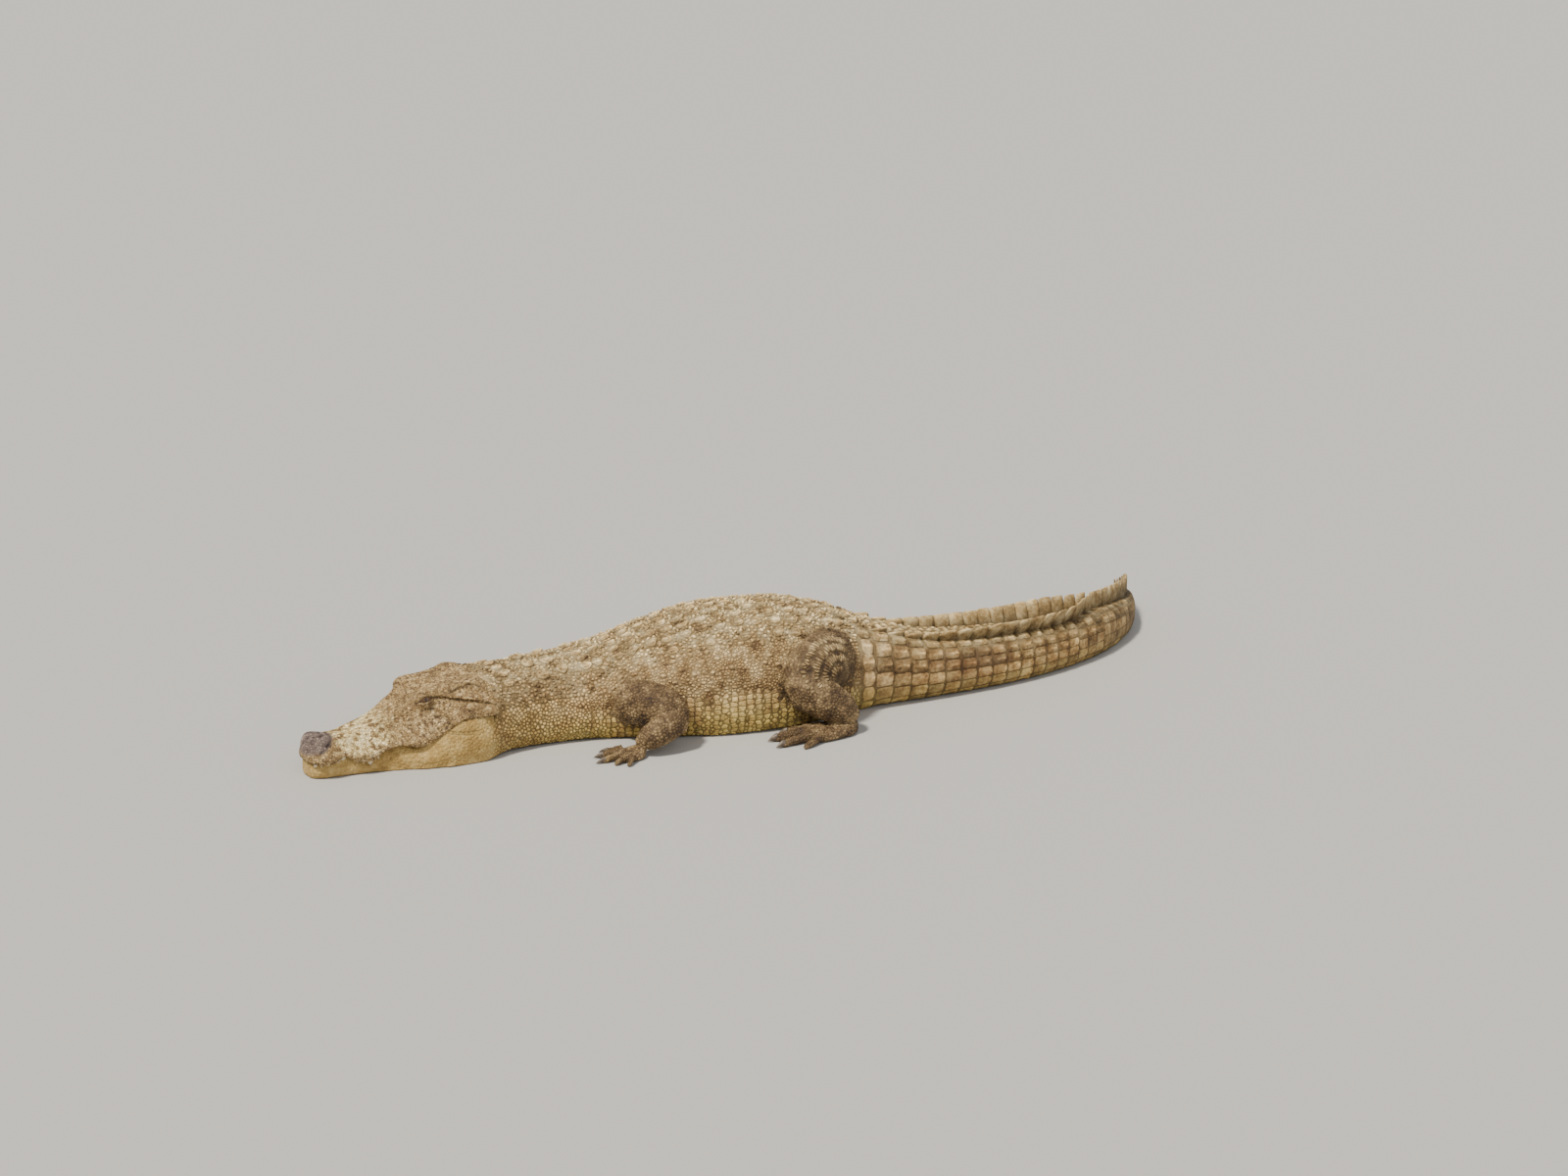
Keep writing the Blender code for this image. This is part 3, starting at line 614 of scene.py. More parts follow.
def belly_share(place, side, height):
    """0 on the spine's line, rising down the flank to 1 at the floor."""
    level = (height / np.maximum(back_height_at(place), 1e-4)) ** 1.15
    inwards = 1 - 0.25 * (np.abs(side) / np.maximum(half_width_at(place), 1e-4))
    return np.clip(1 - level * inwards, 0, 1)


def masks_of(points, regions):
    """Soft masks for belly, limb, head, jaw and rear, one row for each point."""
    place, side, height = body_place(points)
    u = head_place(points)
    limb = np.isin(regions, (3, 4, 5)).astype(float)
    head = ease(-0.16, -0.02, u[:, 0]) * (1 - limb)
    under_lip = ease(0.004, -0.01, u[:, 2] - lip_at(u[:, 0]))
    jaw = head * under_lip
    throat = ease(0.34, 0.1, place) * ease(0.36, 0.22, u[:, 2]) * (1 - head)
    belly = belly_share(place, side, height) * (1 - limb)
    rear = ease(1.0, 1.25, place)
    return np.stack([belly, limb, head * (1 - under_lip), np.maximum(jaw, throat * 0.8), rear], axis=1)


places = vertex_places(skin.data)
skin_regions = region_of(places)
skin_masks = masks_of(places, skin_regions)
edges = read_array(skin.data.edges, "vertices", 2, np.int32)
degree = np.maximum(np.bincount(edges.ravel(), minlength=len(places)), 1)[:, None]


def neighbour_sum(values):
    """For each skin point the sum of a value over the points that an edge joins to it."""
    total = np.zeros_like(values)
    np.add.at(total, edges[:, 0], values[edges[:, 1]])
    np.add.at(total, edges[:, 1], values[edges[:, 0]])
    return total


for _ in range(5):
    skin_masks = 0.5 * skin_masks + 0.5 * neighbour_sum(skin_masks) / degree
# the step where jaw and neck meet is smoothed out of the skin itself
u = head_place(places)
soften = (0.5 * ease(-0.24, -0.17, u[:, 0]) * ease(0.0, -0.07, u[:, 0]) * ease(0.3, 0.22, u[:, 2]))[:, None]
for _ in range(40):
    places = places * (1 - soften) + soften * neighbour_sum(places) / degree
places[:, 2] = np.maximum(places[:, 2], 0.0002)
set_places(skin.data, places)
print("masks (belly, limb, head, jaw, rear) on average:", skin_masks.mean(axis=0).round(3))

# %% [markdown]
# ## Lids, nostrils and folds
# Folds are lines on the skin. Every skin point near a line moves in for a groove, or out for a ridge, by a bell
# curve of its distance. Each line also leaves a row of spots, from which skin and scales later learn how much
# painted shade lies on them; a few lines make them paler instead. The eyes get their opening in the same way:
# skin inside the almond between the lids sinks behind the eyeball, so the surface stays whole.

# %% Grooves and ridges along lines
def distance_to_line(points, line):
    """Distance of points to a line of straight stretches, and how far along it the nearest spot lies."""
    line = np.asarray(line, float)
    best = np.full(len(points), FAR)
    share = np.zeros(len(points))
    for i, (a, b) in enumerate(zip(line, line[1:])):
        t = np.clip((points - a) @ (b - a) / ((b - a) @ (b - a)), 0, 1)
        away = np.linalg.norm(points - (a + t[:, None] * (b - a)), axis=1)
        nearer = away < best
        best[nearer] = away[nearer]
        share[nearer] = (i + t[nearer]) / (len(line) - 1)
    return best, share


def press(places, normals, line, depth, width, fade=0.15):
    """Moves points near a line inwards by depth, or outwards where depth is negative."""
    away, share = distance_to_line(places, line)
    ends = ease(0, fade, share) * ease(1, 1 - fade, share) if fade else 1.0
    return places - normals * (depth * ends * bell(away, width))[:, None]


def surface_tree(piece):
    return BVHTree.FromPolygons([v.co for v in piece.data.vertices], [list(f.vertices) for f in piece.data.polygons])


def nearest(tree, point):
    """The nearest spot of a surface, and the way out of it there."""
    found, normal, _, _ = tree.find_nearest(Vector(point))
    return np.array(found), np.array(normal)


def along_surface(way, normal):
    """The part of a way that runs along a surface, at length one."""
    way = way - normal * (way @ normal)
    return way / max(np.linalg.norm(way), 1e-6)


def on_skin(points, mirror, count=40):
    """A smooth line through head points, laid onto the surface of the skin."""
    u, side, height = smooth_line(points, count).T
    line = on_head(u, mirror * side, height)
    return np.array([bare_tree.find_nearest(Vector(p))[0] for p in line])


bare_tree = surface_tree(skin)

# %% Lines of the folds
# u, side, height on the head, in thousandths
EAR_GROOVE = thousandths((262, 186, 394), (198, 203, 384), (152, 219, 372), (95, 241, 360),
                         (37, 261, 349), (-29, 277, 335), (-73, 296, 318), (-92, 313, 305))
TABLE_GROOVE = thousandths((165, 200, 408), (130, 202, 416), (95, 203, 427), (62, 206, 436),
                           (30, 214, 436), (-10, 226, 425))
CHEEK_CREASE = thousandths((300, 226, 262), (267, 227, 282), (232, 240, 292), (204, 265, 281),
                           (205, 284, 254), (235, 283, 228))
JAW_CREASES = (thousandths((226, 291, 215), (176, 311, 203), (117, 328, 196), (66, 335, 198)),
               thousandths((220, 291, 200), (166, 319, 189), (106, 334, 184)))
CORNER_FOLD = thousandths((110, 272, 318), (55, 288, 316), (0, 302, 308), (-55, 312, 298),
                          (-95, 316, 290))
LOBE_END = thousandths((-30, 314, 266), (-80, 320, 268), (-112, 322, 280), (-124, 320, 298),
                       (-112, 314, 312))
EAR_FLAP = thousandths((215, 196, 402), (150, 214, 392), (90, 232, 384), (30, 250, 372),
                       (-30, 268, 356))
EAR_PATCH = thousandths((125, 213, 404), (80, 224, 402), (30, 240, 394), (-20, 258, 380))
TEMPLE = thousandths((250, 206, 352), (170, 230, 338), (80, 262, 326), (0, 286, 314))
BROW = thousandths((372, 120, 404), (330, 138, 428), (285, 150, 436), (235, 168, 428))
NOSTRIL = thousandths((878, 26, 246), (898, 46, 244), (925, 52, 240), (944, 42, 240))
NOSE_RING = thousandths((935, 118, 160), (895, 116, 180), (862, 92, 204), (842, 55, 220),
                        (832, 0, 226))
SNOUT_RIDGE = thousandths((360, 120, 360), (460, 100, 312), (600, 80, 262), (780, 70, 226))

# line, depth (below zero it stands out), width, share of its length at each end where it fades, and how much
# painted shade it lays along the line (below zero it is paler than the hide round it)
FOLDS = (
    (EAR_FLAP, -0.0042, 0.0105, 0.2, -0.62), (TEMPLE, -0.002, 0.008, 0.3, 0.0), (BROW, -0.0036, 0.0062, 0.3, 0.0),
    (EAR_GROOVE, 0.0085, 0.003, 0.12, 1.0), (TABLE_GROOVE, 0.004, 0.003, 0.2, 0.8),
    (EAR_PATCH, -0.001, 0.0125, 0.25, -0.5), (CHEEK_CREASE, 0.0022, 0.0026, 0.2, 0.6),
    (JAW_CREASES[0], 0.0022, 0.002, 0.2, 0.75), (JAW_CREASES[1], 0.0016, 0.0018, 0.2, 0.65),
    (CORNER_FOLD, -0.01, 0.0105, 0.14, 0.14), (LOBE_END, 0.0062, 0.0036, 0.12, 1.0),
    (NOSE_RING, 0.003, 0.0042, 0.0, 0.6), (NOSTRIL, 0.0075, 0.0026, 0.1, 1.0),
    (SNOUT_RIDGE, -0.002, 0.007, 0.2, 0.0),
)

# %% Press the folds in
places = vertex_places(skin.data)
mouth_us = np.linspace(-0.06, 0.985, 90)
dark_spots = []
for mirror in (1, -1):
    for points, depth, width, fade, dark in FOLDS:
        line = on_skin(points, mirror)
        places = press(places, vertex_normals(skin.data), line, depth, width, fade)
        set_places(skin.data, places)
        dark_spots += [(spot, width * 1.15, dark) for spot in line if dark]
    # the groove between the lips, with painted shadow along the line of the mouth
    between_lips = 0.5 * (0.965 * cheek_at(mouth_us) + jaw_lip_at(mouth_us))
    lip = on_head(mouth_us, mirror * between_lips, lip_at(mouth_us) - 0.004)
    places = press(places, vertex_normals(skin.data), lip, 0.006, 0.0025, 0.07)
    set_places(skin.data, places)
    dark_spots += [(spot, 0.0034, 0.9 * min(1, i / 25)) for i, spot in enumerate(smooth_line(lip, 300))]


def tree_of_folds():
    tree = KDTree(len(dark_spots))
    for i, (spot, _, _) in enumerate(dark_spots):
        tree.insert(spot, i)
    tree.balance()
    return tree


def fold_at(points):
    """How deep in a fold's shade points lie, from 0 to 1."""
    shade = np.zeros(len(points))
    for i, point in enumerate(points):
        _, nearest, away = fold_tree.find(point)
        _, width, dark = dark_spots[nearest]
        if away < 3 * width:
            shade[i] = dark * math.exp(-((away / width) ** 2))
    return shade


print("folds pressed into", len(places), "skin points")

# %% Eyelids
EYE_OUT = (0.26, 0.9, 0.36)
EYE_FORWARD = (0.94, -0.275, -0.22)
# length and heights of the opening, and the places and widths of spots of painted shade at its corners, in eye radii
OPEN_LENGTH, OPEN_ABOVE, OPEN_BELOW = 0.98, 0.47, 0.37
CORNER_SPOTS = ((0.98, -0.02, 0.0026), (1.08, -0.06, 0.0034), (1.2, -0.12, 0.0034), (1.33, -0.18, 0.0026),
                (-1.02, 0.0, 0.0028), (-1.16, 0.02, 0.0028))


def head_direction(along, left, up, mirror):
    away = on_head(along, mirror * left, up) - on_head(0, 0, 0)
    return away / np.linalg.norm(away)


def lid_edges(a):
    """Heights of the upper and the lower rim of the opening, in eye radii."""
    almond = np.clip(1 - (a / OPEN_LENGTH) ** 2, 0, 1) ** 0.75
    return OPEN_ABOVE * almond, -OPEN_BELOW * almond


def eye_frame(mirror):
    """Out of the head, forward and up at an eye."""
    out = head_direction(*EYE_OUT, mirror)
    forward = along_surface(head_direction(*EYE_FORWARD, mirror), out)
    up = np.cross(out, forward) * mirror
    return out, forward, up * np.sign(up[2])


for mirror in (1, -1):
    out, forward, up = eye_frame(mirror)
    places = vertex_places(skin.data)
    away = places - EYES[mirror]
    mound = 0.0038 * bell(np.linalg.norm(away, axis=1), 1.75 * EYE_RADIUS)
    mound *= ease(1.02, 1.35, np.linalg.norm(away, axis=1) / EYE_RADIUS)
    places = places + out * mound[:, None]
    away = places - EYES[mirror]
    reach = np.linalg.norm(away, axis=1)
    near = np.flatnonzero(reach < EYE_RADIUS * 1.75)
    a, b, c = ((away[near] @ axis) / EYE_RADIUS for axis in (forward, up, out))
    upper, lower = lid_edges(a)
    inside = np.minimum(upper - b, b - lower)
    inside = np.where((np.abs(a) < OPEN_LENGTH) & (c > 0), inside, -1)
    rim = np.where(c > -0.1, bell(inside + 0.1, 0.09), 0) * (np.abs(a) < 1.02)
    wide = np.clip(1 - (a / 1.25) ** 2, 0, 1)
    upper_fold = bell(b - upper - 0.34, 0.08) * (c > 0) * wide
    lower_fold = bell(b - lower + 0.34, 0.08) * (c > 0) * wide
    heavy_lid = bell(b - upper - 0.62, 0.16) * (c > -0.2) * wide
    target = reach[near] + 0.0015 * rim - 0.0016 * upper_fold - 0.0013 * lower_fold + 0.0022 * heavy_lid
    sunk = ease(0.0, 0.07, inside)
    target = target * (1 - sunk) + (EYE_RADIUS - 0.0045) * sunk
    places[near] = EYES[mirror] + away[near] * (target / reach[near])[:, None]
    set_places(skin.data, places)
    # dark lid margins, painted highlight on the lids' rims, and painted shade in the creases of the lids
    a = np.linspace(-0.95, 0.95, 60)
    upper, lower = lid_edges(a)
    for b, width, dark in ((upper + 0.02, 0.0012, 0.8), (lower - 0.02, 0.0011, 0.7),
                           (upper + 0.17, 0.0016, -0.55), (lower - 0.15, 0.0015, -0.4),
                           (upper + 0.34, 0.0016, 0.6), (lower - 0.33, 0.0016, 0.5)):
        c = np.sqrt(np.clip(1 - a**2 - b**2, 0.02, 1))
        line = EYES[mirror] + EYE_RADIUS * (a[:, None] * forward + b[:, None] * up + c[:, None] * out)
        dark_spots += [(spot, width, dark) for spot in line]
    # painted shade in the tear corner ahead of the eye, and at the start of the crease behind it
    lid_tree = surface_tree(skin)
    for a_end, b_end, width in CORNER_SPOTS:
        above = EYES[mirror] + EYE_RADIUS * (a_end * forward + b_end * up + 2.2 * out)
        corner = np.array(lid_tree.ray_cast(Vector(above), Vector(-out))[0])
        places = vertex_places(skin.data)
        places = press(places, vertex_normals(skin.data), (corner, corner + 0.0004 * up), 0.0008, width, 0)
        set_places(skin.data, places)
        dark_spots.append((corner, width, 0.85))
fold_tree = tree_of_folds()
print("lids opened round", len(EYES), "eyes")

# %% [markdown]
# ## Loose skin
# Skin that isn't stretched by bone or plates has soft lumps and wrinkles. Smooth noise moves the points a little,
# more on flank and throat than on the head, where the skin is tight on the skull.

# %% Soft unevenness of the skin
def noise_at(points, size, seed=0.0):
    scaled = np.asarray(points) / size + seed
    return np.array([noise.noise(Vector(p)) for p in scaled])


places = vertex_places(skin.data)
normals = vertex_normals(skin.data)
eye_guard = np.ones(len(places))
for centre in EYES.values():
    eye_guard *= ease(EYE_RADIUS * 1.05, EYE_RADIUS * 1.5, np.linalg.norm(places - centre, axis=1))
loose = 0.001 * (1 - skin_masks[:, 2]) + 0.0004
shift = loose * noise_at(places, 0.03) + 0.00035 * noise_at(places, 0.007, 5.0)
knobbly = skin_masks[:, 2] * ease(0.2, 0.3, head_place(places)[:, 2])
shift += knobbly * (0.0011 * np.abs(noise_at(places, 0.013, 9.0)) - 0.0009 * np.abs(noise_at(places, 0.021, 2.0)))
places += normals * (shift * eye_guard)[:, None]
BOX_MARGIN = 0.0002
BOX_LOW, BOX_HIGH = np.array(CAD_BOX[0]) + BOX_MARGIN, np.array(CAD_BOX[1]) - BOX_MARGIN
places = np.clip(places, BOX_LOW, BOX_HIGH)
set_places(skin.data, places)


def inside_box(points):
    """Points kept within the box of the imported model, but free to touch the floor."""
    return np.clip(points, BOX_LOW - (0, 0, BOX_MARGIN), BOX_HIGH)


def nose_at(points):
    """1 on the round nose at the tip of the snout, fading out at its edge."""
    u = head_place(points)
    away = np.hypot((u[:, 0] - 0.915) / 0.09, u[:, 1] / 0.112)
    return ease(1.14, 0.94, away) * ease(0.128, 0.156, u[:, 2])


def chalk_at(points):
    """1 where the top of the snout is chalky white, between the eyes' front and the nose."""
    u = head_place(points)
    along = ease(0.46, 0.58, u[:, 0]) * ease(0.845, 0.8, u[:, 0])
    return along * ease(0.1, 0.15, u[:, 2]) * ease(0.02, 0.035, u[:, 2] - lip_at(u[:, 0]))


def lobe_at(points):
    """1 on the smooth lobe behind the corner of the mouth."""
    inside = head_place(points)
    inside[:, 1] = np.abs(inside[:, 1])
    away, share = distance_to_line(inside, CORNER_FOLD)
    return ease(0.038, 0.022, away) * ease(0.0, 0.25, share)


def store(mesh, name, values):
    mesh.attributes.new(name, "FLOAT", "POINT").data.foreach_set("value", np.asarray(values, np.float32).ravel())


MASKS = ("belly", "limb", "head", "jaw", "rear")


def store_masks(mesh, masks):
    for name, column in zip(MASKS, masks.T):
        store(mesh, name, column)


store_masks(skin.data, skin_masks)
# bare skin gets the painted shade of a hollow between scales, but less of it where it shows: on head, lower jaw, limbs
# and lobe
u = head_place(places)
bare_jaw = skin_masks[:, 3] * ease(0.36, 0.28, u[:, 2]) * ease(-0.1, 0.02, u[:, 0])
relief = 0.22 + 0.24 * skin_masks[:, 2] + 0.6 * bare_jaw + 0.22 * skin_masks[:, 1] + 0.26 * lobe_at(places)
store(skin.data, "relief", relief)
store(skin.data, "fold", fold_at(places))
store(skin.data, "nose", nose_at(places))
store(skin.data, "chalk", chalk_at(places))
store(skin.data, "tone", np.full(len(places), 0.5))
skin.data.shade_smooth()
skin_tree = surface_tree(skin)
print("skin box:", places.min(axis=0).round(3), places.max(axis=0).round(3))

# %% [markdown]
# ## Where each scale grows
# A crocodile's hide is laid out in rings. On the back, large bony plates stand in cross rows; on flanks and neck
# lie round knobs; along the belly runs a brickwork of flat shields; the tail is a stack of whorls. Each scale
# starts as a site: a point on the skin with its outward direction and the way to the tail.

# %% Sites on the skin
rng = np.random.default_rng(11)
# the underside below this height is hidden, and has no scales
LOWEST_SCALE = 0.006
sites = {key: [] for key in ("point", "normal", "tail", "kind", "weight", "reach", "tone", "height")}
KIND_NAMES = []


def plant(kind, points, tails, weight=1.0, reach=0.03, tone=0.5, spread=0.1, height=0.002, most=0.013, regions=None):
    """Adds sites, each moved to the nearest point of the skin; those too far from it are dropped. Reach is the
    greatest radius of a scale, or a pair of them, along the body and across it."""
    points, tails = np.atleast_2d(points), np.broadcast_to(tails, np.atleast_2d(points).shape)
    reach = np.broadcast_to(reach, (len(points), 2))
    height = np.broadcast_to(height, len(points))
    tone = np.broadcast_to(tone, len(points))
    if kind not in KIND_NAMES:
        KIND_NAMES.append(kind)
    kept = 0
    for i, point in enumerate(points):
        found, normal, _, away = skin_tree.find_nearest(Vector(point))
        if found is None or away > most or found.z < LOWEST_SCALE:
            continue
        if regions is not None and region_of([found])[0] not in regions:
            continue
        sites["point"].append(np.array(found))
        sites["normal"].append(np.array(normal))
        sites["tail"].append(along_surface(tails[i], np.array(normal)))
        sites["kind"].append(KIND_NAMES.index(kind))
        sites["weight"].append(weight)
        sites["reach"].append(reach[i])
        sites["tone"].append(np.clip(tone[i] + rng.normal(0, spread), 0, 1))
        sites["height"].append(height[i])
        kept += 1
    return kept


# %% Places round the body
section_cache = {}


def section_arc(place):
    """One flank's outline at a place: sides, heights and distances round from the middle of the back."""
    key = round(float(place), 3)
    if key not in section_cache:
        side, height = body_outline(np.float64(key), np.linspace(math.pi / 2, -math.pi / 2, 260), coat_depth_at(key))
        arc = np.concatenate([[0], np.cumsum(np.hypot(np.diff(side), np.diff(height)))])
        floor = int(np.argmax(height <= RESTING + 1e-5)) or len(side) - 1
        section_cache[key] = side[:floor + 1], height[:floor + 1], arc[:floor + 1]
    return section_cache[key]


def around(place, across):
    """Points on the body at distances across from the middle of the back, positive to the left."""
    place, across = np.broadcast_arrays(np.asarray(place, float), across)
    found = []
    for p, a in zip(place.ravel(), across.ravel()):
        side, height, arc = section_arc(p)
        found.append((p, math.copysign(np.interp(abs(a), arc, side), a), np.interp(abs(a), arc, height)))
    return on_body(*np.array(found).T)


def flank_length(place):
    return section_arc(place)[2][-1]


# %% An even scatter
def scatter(candidates, spacing, blocked=()):
    """Takes candidates one by one and keeps each that stands clear of those kept before it. Blocked points come
    with the distance that they keep free round them."""
    spacing = np.broadcast_to(spacing, len(candidates)).tolist()
    size = max([*spacing, *(radius for _, radius in blocked)])
    cells = {}

    def cell_of(point):
        return int(point[0] // size), int(point[1] // size), int(point[2] // size)

    def stands_clear(point, own):
        px, py, pz = point
        cx, cy, cz = cell_of(point)
        for dx, dy, dz in around_cell:
            for x, y, z, radius, given in cells.get((cx + dx, cy + dy, cz + dz), ()):
                gap = radius if given else 0.5 * (radius + own)
                if (px - x) ** 2 + (py - y) ** 2 + (pz - z) ** 2 < gap * gap:
                    return False
        return True

    for points, radius in blocked:
        for point in np.asarray(points, float).tolist():
            cells.setdefault(cell_of(point), []).append((*point, radius, True))
    around_cell = [(x, y, z) for x in (-1, 0, 1) for y in (-1, 0, 1) for z in (-1, 0, 1)]
    kept = []
    for i, point in enumerate(np.asarray(candidates, float).tolist()):
        if stands_clear(point, spacing[i]):
            kept.append(i)
            cells.setdefault(cell_of(point), []).append((*point, spacing[i], False))
    return np.array(kept, int)


def kind_points(*names, key="point"):
    wanted = [KIND_NAMES.index(name) for name in names if name in KIND_NAMES]
    return [value for value, kind in zip(sites[key], sites["kind"]) if kind in wanted]


def guard_points(kind, reach):
    """Three points on each scale of a long kind, so that others keep off its whole length."""
    return [p + s * t for p, t in zip(kind_points(kind), kind_points(kind, key="tail")) for s in (-reach, 0.0, reach)]


# %% [markdown]
# ### The back
# Seventeen cross rows of bony plates, six to eight in a row, each with a keel. They are rugged, nearly touch and
# leave room for smaller knobs only at their corners.

# %% Plates of the back
ROW_PITCH = 0.0445
TAIL_SCALES_FROM = 1.01
row_places = np.arange(0.305, 1.055, ROW_PITCH)


def plate_width(place):
    return 0.044 * (half_width_at(place) / 0.23) ** 0.7


for row, place in enumerate(row_places):
    width = plate_width(place)
    for mirror in (1, -1):
        for column in range(4):
            if column == 3 and (row < 2 or (row + (mirror > 0)) % 2 and row < 11):
                continue
            p = place + rng.normal(0, 0.0035) + 0.004 * (column % 2)
            a = mirror * (column + 0.5) * width * (1.04 if column < 3 else 1.07) + rng.normal(0, 0.0025)
            big = column < 3 or row >= 11
            if p > TAIL_SCALES_FROM and column > 1:
                continue
            plant("plate", around(p, a), tailwards(p), weight=3.8 if big else 2.2,
                  reach=(0.0225, 0.0185) if big else (0.018, 0.014), tone=0.66, spread=0.2,
                  height=0.008 if big else 0.0064)
print("plates:", len(kind_points("plate")))

# %% [markdown]
# ### The neck
# Four tall nuchal plates stand in a square on the neck, with two smaller ones on each side, and a short row of
# knobs stands just behind the skull.

# %% Plates of the neck
NUCHALS = ((0.168, 0.031, 1.0), (0.222, 0.029, 0.95), (0.186, 0.086, 0.85), (0.243, 0.078, 0.75))
for place, across, share in NUCHALS:
    for mirror in (1, -1):
        plant("nuchal", around(place, mirror * across), tailwards(place), weight=2.6 * share,
              reach=(0.032 * share, 0.026 * share), tone=0.58, spread=0.12, height=0.012 * share)
for across in (0.02, 0.058, 0.092):
    for mirror in (1, -1):
        plant("nuchal", around(0.088, mirror * across), tailwards(0.088), weight=1.3, reach=(0.017, 0.013), tone=0.75,
              spread=0.1, height=0.0065)
print("nuchal plates:", len(kind_points("nuchal")))

# %% [markdown]
# ### The flanks and the belly
# Oval keeled scales stand alone in rows on the flank, and narrow ones in closer rows below them. Lower down the
# hide turns into rows of small flat shields.

# %% Flank keels and belly shields
for row, place in enumerate(np.arange(0.3, 1.0, ROW_PITCH)):
    whole = flank_length(place)
    start = 4.35 * plate_width(place)
    for mirror in (1, -1):
        for line_up, across in enumerate(np.arange(start, 0.6 * whole, 0.0265)):
            p = place + (0.5 * ROW_PITCH if line_up % 2 else 0) + rng.normal(0, 0.004)
            a = mirror * (across + rng.normal(0, 0.003))
            if rng.random() < 0.12:
                continue
            big = rng.uniform(0.7, 1.2)
            plant("keel", around(p, a), tailwards(p), weight=1.6, reach=(0.023 * big, 0.01 * big), tone=0.9,
                  spread=0.1, height=0.0078 * big, regions=(0,))
for place in np.arange(0.3, TAIL_SCALES_FROM - 0.005, 0.0215):
    whole = flank_length(place)
    count = max(3, int(round(0.29 * whole / 0.0135)))
    for mirror in (1, -1):
        start = 0.71 + 0.03 * noise.noise(Vector((place * 9, mirror * 3, 1.0)))
        across = mirror * whole * (start + (1 - start) * (np.arange(count) + 0.5) / count)
        jitter = rng.normal(0, 0.0012, (2, count))
        plant("shield", around(place + jitter[0], across + jitter[1]), tailwards(place), reach=0.016,
              tone=0.5, spread=0.16, height=0.0016, regions=(0,))
print("keels:", len(kind_points("keel")), "shields:", len(kind_points("shield")))

# %% [markdown]
# ### The tail
# Each whorl is one ring of plates: small ones on top, a tall crest plate on each side, up to three ridged rows,
# then tall flat shields down to the floor. The two crests run together half way, and one ring without a crest
# leads over from the trunk.

# %% Whorls of the tail
def whorl_start(whorl):
    share = np.asarray(whorl) / WHORLS
    return TRUNK_END + (BODY_LENGTH - TRUNK_END) * (1.35 * share - 0.35 * share**2)


def crest_across(place):
    """How far from the middle of the back the crest stands."""
    side, height = body_outline(np.float64(place), np.float64(math.radians(67.5)), coat_depth_at(place))
    sides, _, arc = section_arc(place)
    return float(np.interp(side, sides[:130], arc[:130]))


def crest_row(whorl, mirror):
    """The foot of the crest at a whorl: two rows that run together, or the single row behind them."""
    place = float(whorl_start(whorl))
    if whorl >= CREST_MERGE:
        return around(place, 0.0)[0]
    apart = 0.3 + 0.7 * float(ease(CREST_MERGE, CREST_MERGE - 5, whorl))
    return around(place, mirror * crest_across(place) * apart)[0]


crest_sites = []
for whorl in range(-1, WHORLS - 1):
    first, last = float(whorl_start(whorl)), float(whorl_start(whorl + 1))
    middle = (first + last) / 2
    whole = flank_length(middle)
    double = whorl < CREST_MERGE
    crest = crest_across(middle) if double else 0.0
    tall = float(coat_depth_at(middle))
    # painted shade: scales get darker towards the end of the tail
    tail_end_shade = 0.58 * float(ease(11, 23, whorl))
    for mirror in (1, -1):
        if whorl >= 0 and (double or mirror > 0):
            crest_sites.append((first, last, mirror if double else 0, whorl))
        if double and whorl >= 0:
            for share in ((0.33, 0.72) if whorl < 9 else (0.5,)):
                for half in ((-0.25, 0.25) if whorl < 12 else (0,)):
                    p = middle + half * (last - first) + rng.normal(0, 0.002)
                    plant("lump", around(p, mirror * crest * share * 0.86), tailwards(p), weight=0.9, reach=0.02,
                          tone=0.6 - tail_end_shade, spread=0.18, height=tall * 0.75)
        rows = 6 if whorl < 14 else 5 if whorl < 22 else 4
        for row in range(rows):
            across = crest + (whole - crest) * (row + (0.62 if double else 0.7)) / (rows + 0.12)
            ridged = row < (3 if whorl < 13 else 2 if whorl < 24 else 1)
            plant("ridge" if ridged else "shield", around(middle, mirror * across), tailwards(middle),
                  reach=0.05 if whorl >= 0 else 0.027, tone=(0.66 if ridged else 0.5) - tail_end_shade, spread=0.16,
                  height=tall * (0.98 if ridged else 0.3))
print("tail scales:", len(kind_points("ridge")), "ridged;", len(crest_sites), "crest plates")

# %% [markdown]
# ### Small knobs in between
# Between the regular rows the hide is filled with small knobs. Random candidates are tried one after another, and
# each that stands clear of its neighbours stays, which gives the even but irregular look of real hide.

# %% Knobs of the back, the flanks and the neck
def sprinkle(kind, first, last, low, high, count, spacing, blocked, tall, reach, swell=None, **how):
    """Tries random places on both flanks, and plants a scale at each that stands clear. Low and high are distances
    round the body as functions of place, and swell changes the height in the same way."""
    p = rng.uniform(first, last, count)
    share = rng.random(count)
    a = np.array([low(x) + (high(x) - low(x)) * s for x, s in zip(p, share)]) * rng.choice((-1, 1), count)
    points = around(p, a)
    kept = scatter(points, rng.uniform(*spacing, count), blocked)
    height = rng.uniform(*tall, len(kept)) * (swell(p[kept]) if swell else 1)
    return plant(kind, points[kept], tailwards(p[kept]), height=height, reach=reach, regions=(0,), **how)


